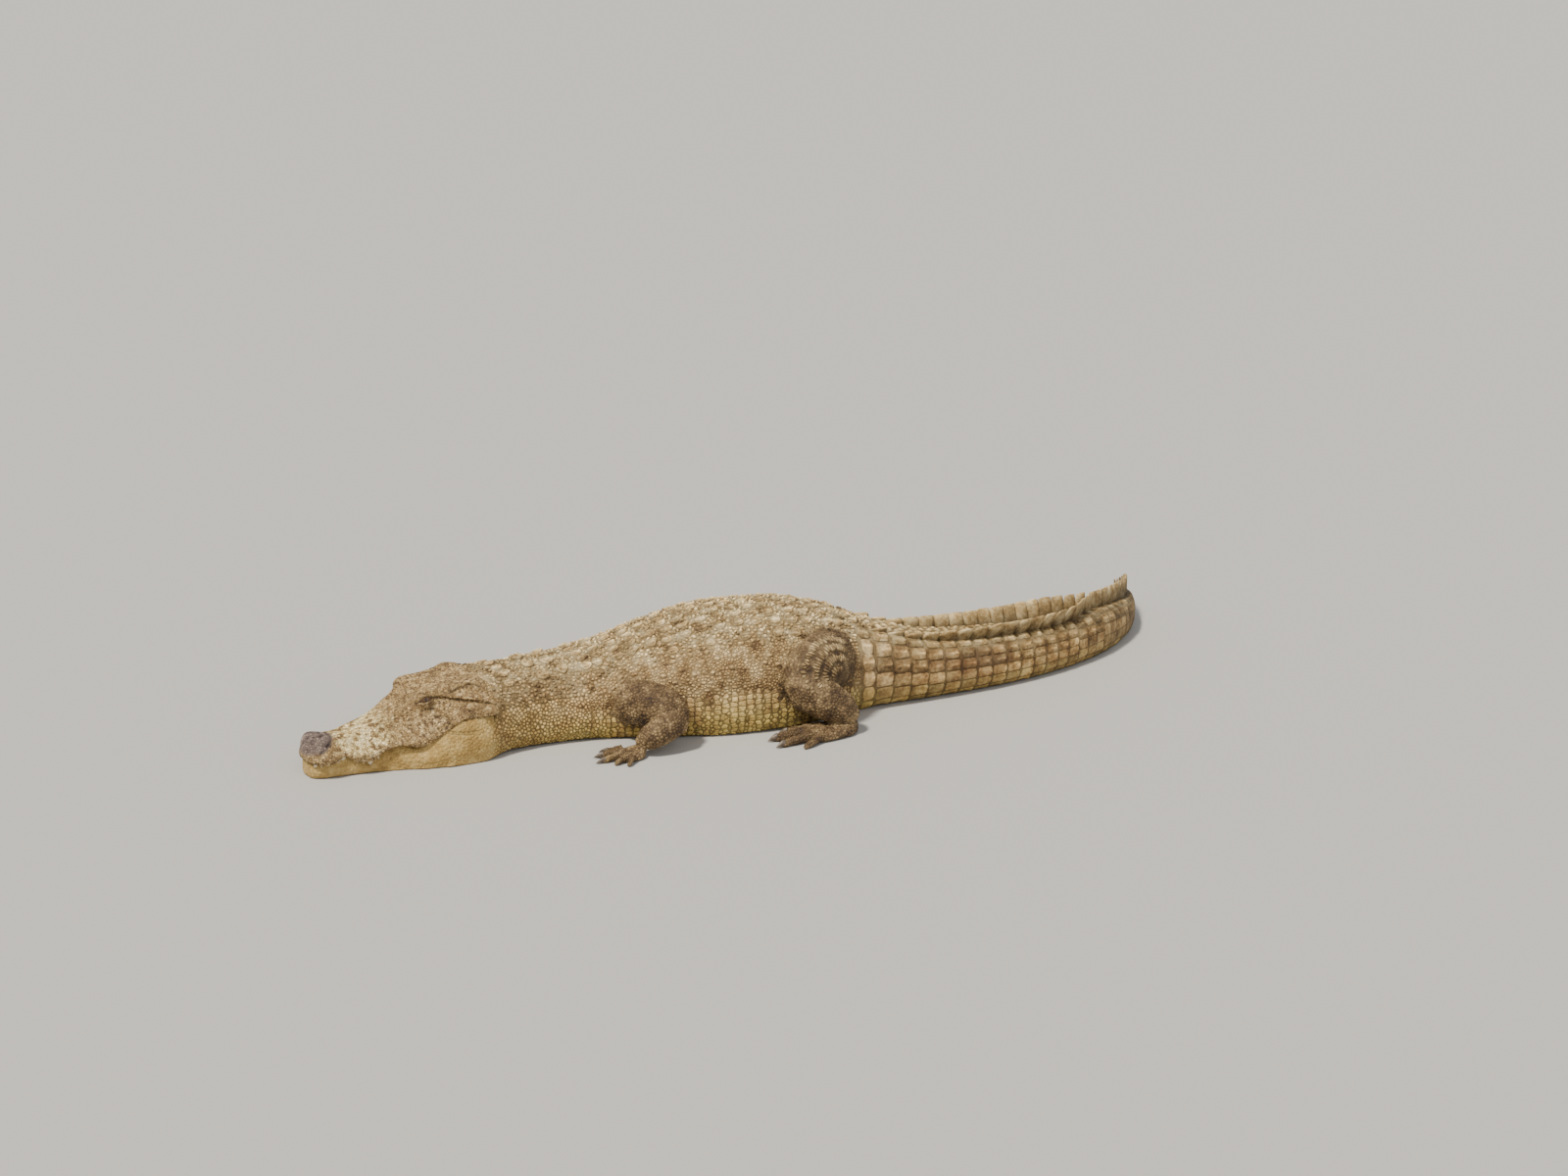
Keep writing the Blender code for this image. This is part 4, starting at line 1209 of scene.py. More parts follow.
keel_guard = guard_points("keel", 0.012)
for row, place in enumerate(np.arange(0.33, 1.0, 0.0225)):
    whole = flank_length(place)
    for mirror in (1, -1):
        for line_up, share in enumerate((0.6, 0.645, 0.685)):
            if rng.random() < 0.18:
                continue
            p = place + (0.011 if line_up % 2 else 0) + rng.normal(0, 0.002)
            plant("dash", around(p, mirror * (share * whole + rng.normal(0, 0.0012))), tailwards(p), weight=1.3,
                  reach=(0.0098, 0.005), tone=0.82, spread=0.12, height=0.0034, regions=(0,))
dash_guard = guard_points("dash", 0.006)
blocked_back = [(kind_points("plate"), 0.0206), (kind_points("nuchal"), 0.0225), (keel_guard, 0.0105),
                (kind_points("shield", "ridge", "lump"), 0.0135)]
on_back = sprinkle("lump", 0.3, 1.07, lambda x: 0,
                   lambda x: 4.2 * plate_width(x) if x < TAIL_SCALES_FROM else 0.95 * crest_across(x), 14000,
                   (0.0064, 0.0115), blocked_back, (0.0022, 0.007), 0.0105, weight=0.85, tone=0.52, spread=0.3)
on_neck = sprinkle("lump", 0.025, 0.31, lambda x: 0, lambda x: 0.55 * flank_length(x), 6000,
                   (0.0062, 0.0105), blocked_back + [(kind_points("lump"), 0.01)],
                   (0.0016, 0.0048), 0.0095, weight=0.85, tone=0.37, spread=0.24)
print("knobs on the back:", on_back, "and on the neck:", on_neck)
pebbles = sprinkle("pebble", 0.02, 0.34, lambda x: 0.52 * flank_length(x), flank_length, 14000,
                   (0.0058, 0.0086), [(kind_points("lump", "shield"), 0.0085)],
                   (0.0007, 0.0018), (0.0052, 0.0078), swell=lambda x: 0.3 + 0.7 * ease(0.03, 0.16, x),
                   tone=0.6, spread=0.18)
granules = sprinkle("granule", 0.29, TAIL_SCALES_FROM, lambda x: 4.1 * plate_width(x),
                    lambda x: 0.72 * flank_length(x), 26000, (0.0045, 0.0068),
                    [(dash_guard, 0.0062), (keel_guard, 0.0092), (kind_points("plate"), 0.014),
                     (kind_points("lump", "shield"), 0.0085)],
                    (0.0009, 0.0022), (0.008, 0.0042), weight=0.8, tone=0.42, spread=0.2)
print("granules:", granules, "pebbles:", pebbles)

# %% [markdown]
# ### The limbs
# Small rounded scales cover the limbs, finer on the toes. Behind the bend of the knee long scales stand in rings
# and fan out over the thigh, so each is laid down by a walk over the skin from the bend outwards.

# %% Spots on the limbs
areas = read_array(skin.data.polygons, "area", 1, float)[:, 0]
centres = read_array(skin.data.polygons, "center", 3).astype(float)
along, aside, _ = body_place(centres)
limb_faces = np.flatnonzero((centres[:, 2] > 0.008) & (np.abs(aside) > 0.12) & (along > 0.2) & (along < 1.12))
chosen = rng.choice(limb_faces, 60000, p=areas[limb_faces] / areas[limb_faces].sum())
chosen = np.unique(chosen)
rng.shuffle(chosen)
limb_regions = region_of(centres[chosen])
chosen = chosen[np.isin(limb_regions, (3, 4, 5))]
limb_regions = limb_regions[np.isin(limb_regions, (3, 4, 5))]


def limb_tails(points):
    """The way down a limb at each point."""
    best = np.full(len(points), FAR)
    ways = np.zeros((len(points), 3))
    for kind, mirror, root, middle, wrist in limb_lines:
        for a, b in ((root, middle), (middle, wrist), (wrist, wrist + np.array([-0.15, 0.0, 0]))):
            away = distance_to_line(points, (a, b))[0]
            nearer = away < best
            best[nearer] = away[nearer]
            ways[nearer] = (b - a) / np.linalg.norm(b - a)
    return ways


# %% The fan on the thigh, and the scales of the limbs
FAN_CENTRE = (0.926, 0.239, 0.141)
FAN_RINGS, FAN_STEP = 4, 0.0285


def walk(start, way, far):
    """A point that far over the skin from the start, and the way on from there."""
    point, steps = np.array(start, float), max(1, int(round(far / 0.01)))
    for _ in range(steps):
        point, normal = nearest(skin_tree, point + way * far / steps)
        way = along_surface(way, normal)
    return point, way


for mirror in (1, -1):
    spot, normal = nearest(skin_tree, on_body(FAN_CENTRE[0], mirror * FAN_CENTRE[1], FAN_CENTRE[2]))
    ahead = along_surface(np.array([-1.0, 0, 0]), normal)
    up = np.cross(normal, ahead)
    up *= np.sign(up[2])
    for ring in range(FAN_RINGS):
        radius = 0.02 + FAN_STEP * ring
        step = math.degrees((0.0076 + 0.0005 * ring) / radius)
        for angle in np.radians(np.arange(2, 142, step) + (ring % 2) * step / 2):
            angle += rng.normal(0, 0.1 * math.radians(step))
            point, way = walk(spot, ahead * math.cos(angle) + up * math.sin(angle), radius + rng.normal(0, 0.0018))
            plant("fan", point, -way, weight=1.3, reach=(0.0172, 0.0046), tone=0.64 - 0.05 * ring, spread=0.12,
                  height=0.003, regions=(4,))
spacing = np.where(limb_regions == 5, 0.0042, 0.0058) * rng.uniform(0.8, 1.25, len(chosen))
kept = scatter(centres[chosen], spacing, [
    (guard_points("fan", 0.012), 0.0066), (kind_points("granule", "keel", "shield", "pebble"), 0.006)])
points = centres[chosen][kept]
plant("limb", points, limb_tails(points), reach=0.0062, spread=0.12,
      tone=0.48 + 0.22 * ease(0.075, 0.03, points[:, 2]) + 0.12 * (limb_regions[kept] == 3),
      height=np.where(limb_regions[kept] == 5, 0.0006, 0.0007), regions=(3, 4, 5))

# %% [markdown]
# ### The head
# The hide of the head is tight on the bone and has no loose scales: it is cracked into small flat fields, finest
# on cheeks and lids, wider on the skull and smoothest on the lower jaw. Folds and the smooth lobe behind the
# corner of the mouth stay free of them.

# %% Fields of the head
head_faces = np.flatnonzero((head_place(centres)[:, 0] > -0.16) & (centres[:, 2] > LOWEST_SCALE))
rng.shuffle(head_faces)
head_regions = region_of(centres[head_faces])
head_faces = head_faces[np.isin(head_regions, (1, 2))]
u = head_place(centres[head_faces])
off_eye = np.min([np.linalg.norm(centres[head_faces] - centre, axis=1) for centre in EYES.values()], axis=0)
eyeward = np.zeros(len(head_faces), bool)
for mirror in (1, -1):
    out, forward, up = eye_frame(mirror)
    away = (centres[head_faces] - EYES[mirror]) / EYE_RADIUS
    a, b, c = away @ forward, away @ up, away @ out
    eyeward |= (c > 0) & (np.abs(a) < 1.02) & (b < OPEN_ABOVE + 0.16) & (b > -OPEN_BELOW - 0.16)
free = (np.abs(fold_at(centres[head_faces])) < 0.3) & ~eyeward & (lobe_at(centres[head_faces]) < 0.5)
below = u[:, 2] < lip_at(u[:, 0]) - 0.006
spacing = np.where(below, 0.0078, 0.0047)
spacing = np.where(~below & (u[:, 2] > table_z_at(u[:, 0]) - 0.02), 0.0054, spacing)
spacing = np.where(off_eye < 1.7 * EYE_RADIUS, 0.0036, spacing) * rng.uniform(0.75, 1.3, len(head_faces))
head_faces, below, spacing, u, off_eye = (x[free] for x in (head_faces, below, spacing, u, off_eye))
kept = scatter(centres[head_faces], spacing, [(kind_points("lump", "pebble", "nuchal"), 0.008)])
for name, wanted, tall in (("jaw_field", below[kept], 0.0002), ("field", ~below[kept], 0.0005)):
    picked = kept[wanted]
    plant(name, centres[head_faces[picked]], tailwards(0.0),
          reach=0.0075 if name == "jaw_field" else 0.0055, tone=0.5, spread=0.24 if name == "field" else 0.04,
          height=np.where(off_eye[picked] < 1.7 * EYE_RADIUS, 0.5, 1.0) * tall * rng.uniform(0.5, 1.5, len(picked))
          * (1 - 0.6 * nose_at(centres[head_faces[picked]])))
print("head fields:", len(kind_points("field")), "jaw fields:", len(kind_points("jaw_field")))
print("fan:", len(kind_points("fan")), "limb scales:", len(kind_points("limb")), "of all", len(sites["point"]))

# %% [markdown]
# ### Bare spots
# Where regions meet, a few spots are left that no rule above has covered. A last scatter puts a small scale into
# each that is clear of all others, by a distance that depends on the neighbour's kind.

# %% Small scales wherever the hide is still bare
CLEAR = {"plate": 0.018, "nuchal": 0.024, "keel": 0.0098, "dash": 0.0072, "lump": 0.0072, "shield": 0.0098,
         "granule": 0.0052, "pebble": 0.0058, "fan": 0.008, "limb": 0.0055, "field": 0.005, "jaw_field": 0.0064}
off_floor = np.flatnonzero(centres[:, 2] > 0.007)
bare = rng.choice(off_floor, 60000, p=areas[off_floor] / areas[off_floor].sum())
bare = np.unique(bare)
rng.shuffle(bare)
place = body_place(centres[bare])[0]
bare = bare[(place > -0.03) & (place < TAIL_SCALES_FROM + 0.002)]
kept = scatter(centres[bare], 0.0058, [(kind_points(kind), clear) for kind, clear in CLEAR.items()])
filled = plant("granule", centres[bare[kept]], tailwards(0.5), weight=0.8, reach=0.0062, tone=0.42, spread=0.18,
               height=0.0011, regions=(0, 2))
print("scales that fill bare spots:", filled)

# %% [markdown]
# ## From sites to scales
# Every scale fills its own share of the skin: half the distance to each neighbour, weighted so that a big plate
# takes more. The outline is pressed onto the skin, and rings inside it rise to the scale's own profile, which
# reads s, from 0 in the middle to 1 at the edge, x towards the tail and y sideways. One small template per kind,
# made with Blender's operators, is repeated with an Array, and each copy is then shaped.

# %% Outlines of all scales
P, N, T = (np.array(sites[key]) for key in ("point", "normal", "tail"))
B = np.cross(N, T)
KIND, WEIGHT, TONE, TALL = (np.array(sites[key]) for key in ("kind", "weight", "tone", "height"))
REACH = np.array(sites["reach"])
tree = KDTree(len(P))
for i, point in enumerate(P):
    tree.insert(point, i)
tree.balance()
NEAR = np.array([[j for _, j, _ in tree.find_n(point, 15)] for point in P])[:, 1:]
SITE_MASKS = masks_of(P, region_of(P))


def outlines(chosen, corners):
    """How far each scale reaches towards each corner before it meets a neighbour."""
    away = P[NEAR[chosen]] - P[chosen][:, None]
    dx = (away * T[chosen][:, None]).sum(-1)
    dy = (away * B[chosen][:, None]).sum(-1)
    share = WEIGHT[chosen][:, None] / (WEIGHT[chosen][:, None] + WEIGHT[NEAR[chosen]])
    turn = 2 * math.pi * np.arange(corners) / corners
    along = dx[..., None] * np.cos(turn) + dy[..., None] * np.sin(turn)
    radius = np.where(along > 1e-4, (dx**2 + dy**2)[..., None] * share[..., None] / np.maximum(along, 1e-4), FAR)
    limit = 1 / np.sqrt((np.cos(turn) / REACH[chosen, :1]) ** 2 + (np.sin(turn) / REACH[chosen, 1:]) ** 2)
    return np.minimum(radius.min(axis=1), limit)


# %% Profiles: how high a scale stands at a share of its width
def knob(s, x, y):
    return 0.25 + 0.75 * np.sqrt(np.clip(1 - s**2, 0, 1))


def crag(s, x, y):
    return 0.22 + 0.8 * (1 - s**1.6) * (0.74 + 0.38 * bell(y, 0.26))


def cushion(s, x, y):
    return 0.45 + 0.55 * np.sqrt(np.clip(1 - s**2, 0, 1))


def flat(s, x, y):
    return (0.84 + 0.2 * x) * (1 - 0.7 * ease(0.9, 1.0, s))


def keeled(s, x, y):
    return 0.14 + 0.26 * (1 - s**2) + 0.62 * bell(y, 0.16) * (1 - s**3) * (0.9 + 0.3 * x)


def ridged(s, x, y):
    keel = 0.62 * bell(y, 0.15) * np.clip(0.72 + 0.55 * x, 0, 1.1) * (1 - ease(0.62, 0.98, np.abs(x)))
    return 0.08 + (0.3 + 0.06 * x + keel) * (1 - ease(0.93, 1.0, s))


def rugged(s, x, y):
    rim = 0.62 * bell(s - 0.82, 0.13) * (0.75 + 0.45 * x)
    keel = bell(y, 0.17) * (1 - 0.3 * s) * (0.85 + 0.35 * x)
    return np.maximum(np.maximum(rim, keel), 0.24 + 0.08 * x) * (1 - 0.75 * ease(0.88, 1.0, s))


def peaked(s, x, y):
    keel = bell(y, 0.15) * np.clip(1 - 0.45 * s**2, 0, 1) * (0.95 + 0.35 * x)
    rim = 0.74 * bell(s - 0.84, 0.12)
    return np.maximum(np.maximum(keel, rim), 0.22) * (1 - 0.75 * ease(0.9, 1.0, s))


# %% Kinds of scales
# kind: corners, shares of the inner rings, profile, roughness of the top, unevenness of the outline, gap to the
# neighbours, depth of the root in the skin, and how little painted shade its hollows get
KINDS = {
    "plate": (16, (0.96, 0.8, 0.56, 0.28), rugged, 0.6, 0.22, 0.001, 0.003, 0.0),
    "nuchal": (16, (0.96, 0.82, 0.56, 0.28), peaked, 0.45, 0.12, 0.001, 0.003, 0.0),
    "lump": (9, (0.9, 0.5), crag, 0.85, 0.26, 0.0005, 0.0022, 0.0),
    "keel": (14, (0.94, 0.72, 0.4), keeled, 0.35, 0.18, 0.0006, 0.002, 0.0),
    "dash": (10, (0.92, 0.58), keeled, 0.35, 0.16, 0.0004, 0.0018, 0.0),
    "ridge": (20, (0.98, 0.88, 0.62, 0.34), ridged, 0.35, 0.05, 0.0005, 0.003, 0.0),
    "shield": (20, (0.98, 0.9, 0.45), flat, 0.3, 0.03, 0.0003, 0.0022, 0.1),
    "granule": (7, (0.84,), knob, 0.3, 0.2, 0.0002, 0.0014, 0.0),
    "pebble": (8, (0.88, 0.5), cushion, 0.25, 0.16, 0.0003, 0.0018, 0.0),
    "fan": (16, (0.92, 0.6), knob, 0.2, 0.08, 0.0005, 0.002, 0.1),
    "limb": (7, (0.84,), cushion, 0.25, 0.12, 0.0001, 0.0012, 0.5),
    "field": (7, (0.84,), cushion, 0.45, 0.16, 0.0001, 0.0012, 0.4),
    "jaw_field": (8, (0.86,), cushion, 0.2, 0.08, 0.0001, 0.001, 0.75),
}


print("kinds of scales:", len(KINDS))


# %% Templates and their unwrap
# size and seed of the noise that roughens the tops
ROUGH_NOISE = (0.006, 3.0)


def scale_template(name, corners, rings):
    """A closed dome of unit rings; the height of a point tells which ring it belongs to."""
    turn = 2 * math.pi * np.arange(corners) / corners
    radii = [1.0, *np.linspace(0.97, 0.3, rings)]
    build = loft([np.stack([r * np.cos(turn), r * np.sin(turn), np.full(corners, level)], axis=1)
                  for level, r in enumerate(radii)])
    top = max(build.faces, key=lambda face: face.calc_center_median().z)
    bmesh.ops.poke(build, faces=[top])
    return to_object(name, build)


def repeat(piece, count):
    """Copies a template with an Array, one copy on another, ready to be moved into place."""
    array = piece.modifiers.new("repeat", "ARRAY")
    array.count = count
    array.use_relative_offset = False
    apply_modifiers(piece)
    return piece


# how far the unwrap of a scale reaches round its spot
UV_SPREAD = 0.0015


def coat_uv(points):
    """The place of points on an unwrap of the skin: along the body by the spine, and round it by the angle."""
    place, side, height = body_place(points)
    angle = np.arctan2(side, height - 0.3 * back_height_at(place)) / math.pi
    return np.stack([0.02 + (place + 0.44) / 2.9 * 0.96, 0.3 + 0.28 * angle], axis=1)


def limb_uv(points):
    """A strip for each limb: along it from shoulder or hip to the toes, and round it by the angle."""
    best = np.full(len(points), FAR)
    uv = np.zeros((len(points), 2))
    for limb, (kind, mirror, root, middle, wrist) in enumerate(limb_lines):
        away, share = distance_to_line(points, (root, middle, wrist, wrist + np.array([-0.22, 0, 0])))
        nearer = away < best
        best[nearer] = away[nearer]
        angle = np.arctan2(points[:, 2] - 0.05, points[:, 1] * mirror)
        uv[nearer] = np.stack([0.02 + 0.24 * limb + 0.22 * share, 0.82 + 0.16 * angle / math.pi], axis=1)[nearer]
    return uv


def store_uv(mesh, spots):
    """Stores the unwrap of a piece of hide, one spot for each of its points."""
    corners = read_array(mesh.loops, "vertex_index", 1, np.int32)[:, 0]
    mesh.uv_layers.new(name="OFBake").data.foreach_set("uv", spots[corners].astype(np.float32).ravel())


# %% Growing one kind of scale
def grow(name, chosen, kind):
    """One piece of hide: all chosen scales of one kind, as closed domes."""
    corners, rings, profile, roughness, uneven, gap, root, calm = KINDS[kind]
    count = len(chosen)
    piece = scale_template(name, corners, len(rings))
    template = vertex_places(piece.data)
    level = np.round(template[:, 2]).astype(int)
    turn_index = np.round(np.arctan2(template[:, 1], template[:, 0]) / (2 * math.pi) * corners).astype(int) % corners
    middle = np.hypot(template[:, 0], template[:, 1]) < 1e-4
    repeat(piece, count)
    radius = outlines(chosen, corners)
    turn = 2 * math.pi * np.arange(corners) / corners
    # the seams between two whorls are wider than those within one
    seam = gap * (0.5 + 4.5 * np.abs(np.cos(turn)) ** 3) if kind in ("shield", "ridge") else gap
    radius = np.maximum(radius - seam, 0.4 * radius)
    phase = rng.uniform(0, 2 * math.pi, (2, count, 1))
    wave = 0.6 * np.sin(2 * turn + phase[0]) + 0.4 * np.sin(3 * turn + phase[1])
    radius = radius * (1 - uneven * (0.5 + 0.5 * wave))
    across = np.cos(turn)[:, None] * T[chosen][:, None] + np.sin(turn)[:, None] * B[chosen][:, None]
    rim = P[chosen][:, None] + across * radius[..., None]
    feet, ways = np.empty_like(rim), np.empty_like(rim)
    for i in range(count):
        for k in range(corners):
            found, normal, _, _ = skin_tree.find_nearest(Vector(rim[i, k]))
            feet[i, k], ways[i, k] = found, normal
    layers = np.empty((count, len(rings) + 1, corners, 3))
    reliefs = np.empty((count, len(rings) + 1, corners))
    layers[:, 0] = feet - ways * root
    reliefs[:, 0] = 0
    mean = radius.mean(axis=1, keepdims=True)
    tall = TALL[chosen][:, None]
    for j, s in enumerate(rings):
        up = N[chosen][:, None] * (1 - s) + ways * s
        x, y = s * np.cos(turn) * radius / mean, s * np.sin(turn) * radius / mean
        foot = P[chosen][:, None] * (1 - s) + feet * s
        rise = profile(s, x, y)
        rough = noise_at(foot.reshape(-1, 3), *ROUGH_NOISE).reshape(count, corners)
        rise = rise * (1 + roughness * rough * (1.6 if j else 0.6))
        layers[:, j + 1] = foot + up * (np.clip(rise, 0.05, 1.05) * tall)[..., None]
        reliefs[:, j + 1] = np.clip(rise, 0, 1.2)
    peak = profile(0.0, 0.0, 0.0) * (1 + 0.5 * roughness * noise_at(P[chosen], *ROUGH_NOISE))
    tops = P[chosen] + N[chosen] * (peak * TALL[chosen])[:, None]
    final = np.empty((count, len(template), 3))
    relief = np.empty((count, len(template)))
    final[:, ~middle] = layers[:, level[~middle], turn_index[~middle]]
    final[:, middle] = tops[:, None]
    relief[:, ~middle] = reliefs[:, level[~middle], turn_index[~middle]]
    relief[:, middle] = peak[:, None]
    final = inside_box(final).reshape(-1, 3)
    set_places(piece.data, final)
    for mask, mask_at, wearers in (("fold", fold_at, ("field", "jaw_field", "pebble", "lump")),
                                   ("nose", nose_at, ("field",)), ("chalk", chalk_at, ("field",))):
        store(piece.data, mask, mask_at(final) if kind in wearers else np.zeros(len(final)))
    # each point's height share in its scale is kept as relief, which paints shade in the hollows and highlight on the
    # tops
    store(piece.data, "relief", calm + (1 - calm) * relief)
    store(piece.data, "tone", np.repeat(TONE[chosen], len(template)))
    masks = SITE_MASKS[chosen] * np.array([1, 0.78 if kind == "fan" else 1, 1, 1, 1])
    store_masks(piece.data, np.repeat(masks, len(template), axis=0))
    uv = limb_uv(P[chosen]) if kind in ("limb", "fan") else coat_uv(P[chosen])
    store_uv(piece.data, (uv[:, None] + UV_SPREAD * template[None, :, :2]).reshape(-1, 2))
    piece.data.shade_smooth()
    print(f"{name}: {count} scales, {len(piece.data.polygons)} faces")
    return piece


# %% All kinds of scales
coat = []
for kind in KINDS:
    of_kind = np.flatnonzero(KIND == KIND_NAMES.index(kind))
    coat.append(grow(f"scales_{kind}", of_kind, kind))

# %% [markdown]
# ### The crest of the tail
# A crest plate is a thin blade that leans back. A ball with few faces, flattened and drawn to a tip, gives a
# closed blade without sharp poles.

# %% Crest plates
blade = bmesh.new()
bmesh.ops.create_uvsphere(blade, u_segments=10, v_segments=8, radius=1.0)
crest = to_object("scales_crest", blade)
template = vertex_places(crest.data)
ring_size = np.hypot(template[:, 0], template[:, 1])
ahead_share, side_share = (np.where(ring_size > 0.01, template[:, i] / np.maximum(ring_size, 0.01), 0) for i in (0, 1))
level = np.arcsin(np.clip(template[:, 2], -1, 1)) / (math.pi / 2)
repeat(crest, len(crest_sites))
blades, blade_relief, blade_tone, blade_masks, blade_uv = [], [], [], [], []
for first, last, across, whorl in crest_sites:
    foot = crest_row(whorl + 0.5, across)
    along = tailwards(0.5 * (first + last))
    if across:
        along = crest_row(whorl + 0.95, across) - crest_row(whorl + 0.05, across)
    along = along * (1, 1, 0) / np.linalg.norm(along[:2])
    outwards = np.cross(along, (0, 0, 1)) * math.copysign(1, across)
    turned = noise.noise(Vector((whorl * 1.7, across * 5.0, 3.0)))
    rise = max(float(crest_line_at(first + 0.88 * (last - first))) - foot[2], 0.008)
    half = 0.55 * (last - first)
    pointed = float(ease(19, 29, whorl))
    up = np.clip(level, 0, 1)
    tall = rise * np.interp(up, (0, 0.25, 0.5, 0.75, 1), (0, 0.36, 0.7, 0.95, 1.0))
    width = half * np.interp(up, (0, 0.25, 0.5, 0.75, 1),
                             (1.0, 0.99 - 0.1 * pointed, 0.95 - 0.28 * pointed, 0.84 - 0.48 * pointed, 0.1))
    x = ahead_share * width + (0.16 + 0.5 * pointed) * tall
    y = side_share * 0.0062 * (1 - 0.68 * up) * (half / 0.022) * (ring_size > 0.01)
    z = np.where(level > 0, tall, level * 0.01)
    tilt = math.tan(math.radians(26 + 6 * turned)) * float(ease(CREST_MERGE, CREST_MERGE - 4, whorl))
    rough = noise_at(np.column_stack([x, y, z]) + foot, 0.011, 8.0)
    blades.append(foot + (x + 0.0022 * rough * up)[:, None] * along
                  + (y * (1 + 0.5 * rough) + tilt * np.maximum(z, 0))[:, None] * outwards
                  + (z + 0.0016 * rough * up)[:, None] * np.array([0, 0, 1]))
    # painted shade low on each blade and painted highlight towards its top, through its relief
    blade_relief.append(np.clip(0.1 + 0.95 * up + 0.35 * rough, 0, 1.1))
    # painted shade: blades get darker towards the end of the tail
    blade_tone.append(np.full(len(template), np.clip(0.56 - 0.36 * pointed + rng.normal(0, 0.12), 0, 1)))
    blade_masks.append(np.repeat(masks_of(foot[None], np.array([0])), len(template), axis=0))
    blade_uv.append(coat_uv(foot[None]) + UV_SPREAD * template[:, [0, 2]])
set_places(crest.data, np.clip(np.concatenate(blades), BOX_LOW, BOX_HIGH))
store(crest.data, "relief", np.concatenate(blade_relief))
store(crest.data, "tone", np.concatenate(blade_tone))
store_masks(crest.data, np.concatenate(blade_masks))
for name in ("fold", "nose", "chalk"):
    store(crest.data, name, np.zeros(len(crest.data.vertices)))
store_uv(crest.data, np.concatenate(blade_uv))
crest.data.shade_smooth()
coat.append(crest)
print("coat:", len(coat), "pieces,", sum(len(p.data.polygons) for p in coat), "faces")

# %% [markdown]
# ## Eyes
# An eyeball is a ball that sits deep between the lids. Its points remember how far forward, up and outward they
# lie, so that the iris and the upright slit of the pupil can be drawn on them without any seam.

# %% Eyeballs
eyes = []
for mirror, side_name in ((1, "left"), (-1, "right")):
    out, forward, up = eye_frame(mirror)
    ball = bmesh.new()
    axes = Matrix(np.column_stack([forward, up, out]).tolist()).to_4x4()
    bmesh.ops.create_uvsphere(ball, u_segments=56, v_segments=40, radius=EYE_RADIUS - 0.0004,
                              matrix=Matrix.Translation(EYES[mirror]) @ axes)
    bmesh.ops.recalc_face_normals(ball, faces=ball.faces)
    eye = to_object(f"eyeball_{side_name}", ball)
    away = (vertex_places(eye.data) - EYES[mirror]) / EYE_RADIUS
    gaze = np.stack([away @ forward, away @ up, away @ out], axis=1)
    eye.data.attributes.new("gaze", "FLOAT_VECTOR", "POINT").data.foreach_set("vector", gaze.astype(np.float32).ravel())
    eye.data.shade_smooth()
    eyes.append(eye)
print("eyeballs:", [eye.name for eye in eyes])

# %% [markdown]
# ## Teeth
# With the mouth shut, the upper teeth hang outside the lower jaw, and the large fourth lower tooth stands in a
# notch of the snout. Each is a slightly curved cone, lofted from its root to a blunt tip.

# %% Teeth along both lips
UPPER_TEETH = ((0.966, 0.01, 0.009), (0.938, 0.017, 0.0115), (0.901, 0.014, 0.011), (0.863, 0.01, 0.0095),
               (0.77, 0.009, 0.01), (0.733, 0.017, 0.013), (0.699, 0.014, 0.014), (0.662, 0.031, 0.0205),
               (0.617, 0.018, 0.014), (0.58, 0.012, 0.0115), (0.548, 0.008, 0.01), (0.508, 0.01, 0.01))
LOWER_TEETH = ((0.957, 0.018, 0.01), (0.805, 0.036, 0.018), (0.838, 0.012, 0.009))


def tooth(base, tip, radius):
    """A curved cone: rings from the root in the gum to the tip."""
    axis = tip - base
    long = np.linalg.norm(axis)
    axis /= long
    across = np.cross(axis, (1.0, 0.2, 0))
    across /= np.linalg.norm(across)
    other = np.cross(axis, across)
    turn = np.linspace(0, 2 * math.pi, 13)[:-1, None]
    rings = []
    for share in (0.0, 0.25, 0.45, 0.62, 0.77, 0.89, 0.97):
        thick = radius * (1 - share**2.3) * (0.92 + 0.16 * math.sin(math.pi * min(share * 1.6, 1)))
        bend = 0.1 * long * share**2
        centre = base + axis * long * share + bend * np.array([math.cos(HEAD_TURN), math.sin(HEAD_TURN), 0])
        rings.append(centre + max(thick, 0.2 * radius) * (across * np.cos(turn) + other * np.sin(turn)))
    return loft(rings)


def small_piece(name, builds):
    """One smooth object from several bmeshes, kept inside the box."""
    piece = to_object(name, joined(builds))
    set_places(piece.data, inside_box(vertex_places(piece.data)))
    piece.data.shade_smooth()
    return piece


def on_surface(point, lift):
    found, normal = nearest(skin_tree, point)
    return found + normal * lift


tooth_forms = []
for mirror in (1, -1):
    for u, long, thick in UPPER_TEETH:
        radius = thick * HEAD_LENGTH
        root = on_head(u, mirror * 0.93 * cheek_at(u), lip_at(u) + 0.022)
        hang = on_head(u - 0.004, mirror * (jaw_wide_at(u) + 0.004), lip_at(u) - long)
        tooth_forms.append(tooth(root, on_surface(hang, 0.35 * radius), radius))
    for u, long, thick in LOWER_TEETH:
        radius = thick * HEAD_LENGTH
        root = on_head(u, mirror * 0.92 * jaw_lip_at(min(u, 0.97)), lip_at(u) - 0.018)
        stand = on_head(u - 0.002, mirror * (cheek_at(u) * 0.97), lip_at(u) + long)
        tooth_forms.append(tooth(root, on_surface(stand, 0.3 * radius), radius))
teeth = small_piece("teeth", tooth_forms)
print("teeth:", len(tooth_forms))

# %% [markdown]
# ## Claws
# Only the three inner toes carry claws. A claw is a curved horn cone, high and narrow, that grows out of the toe
# and bends down to the floor.

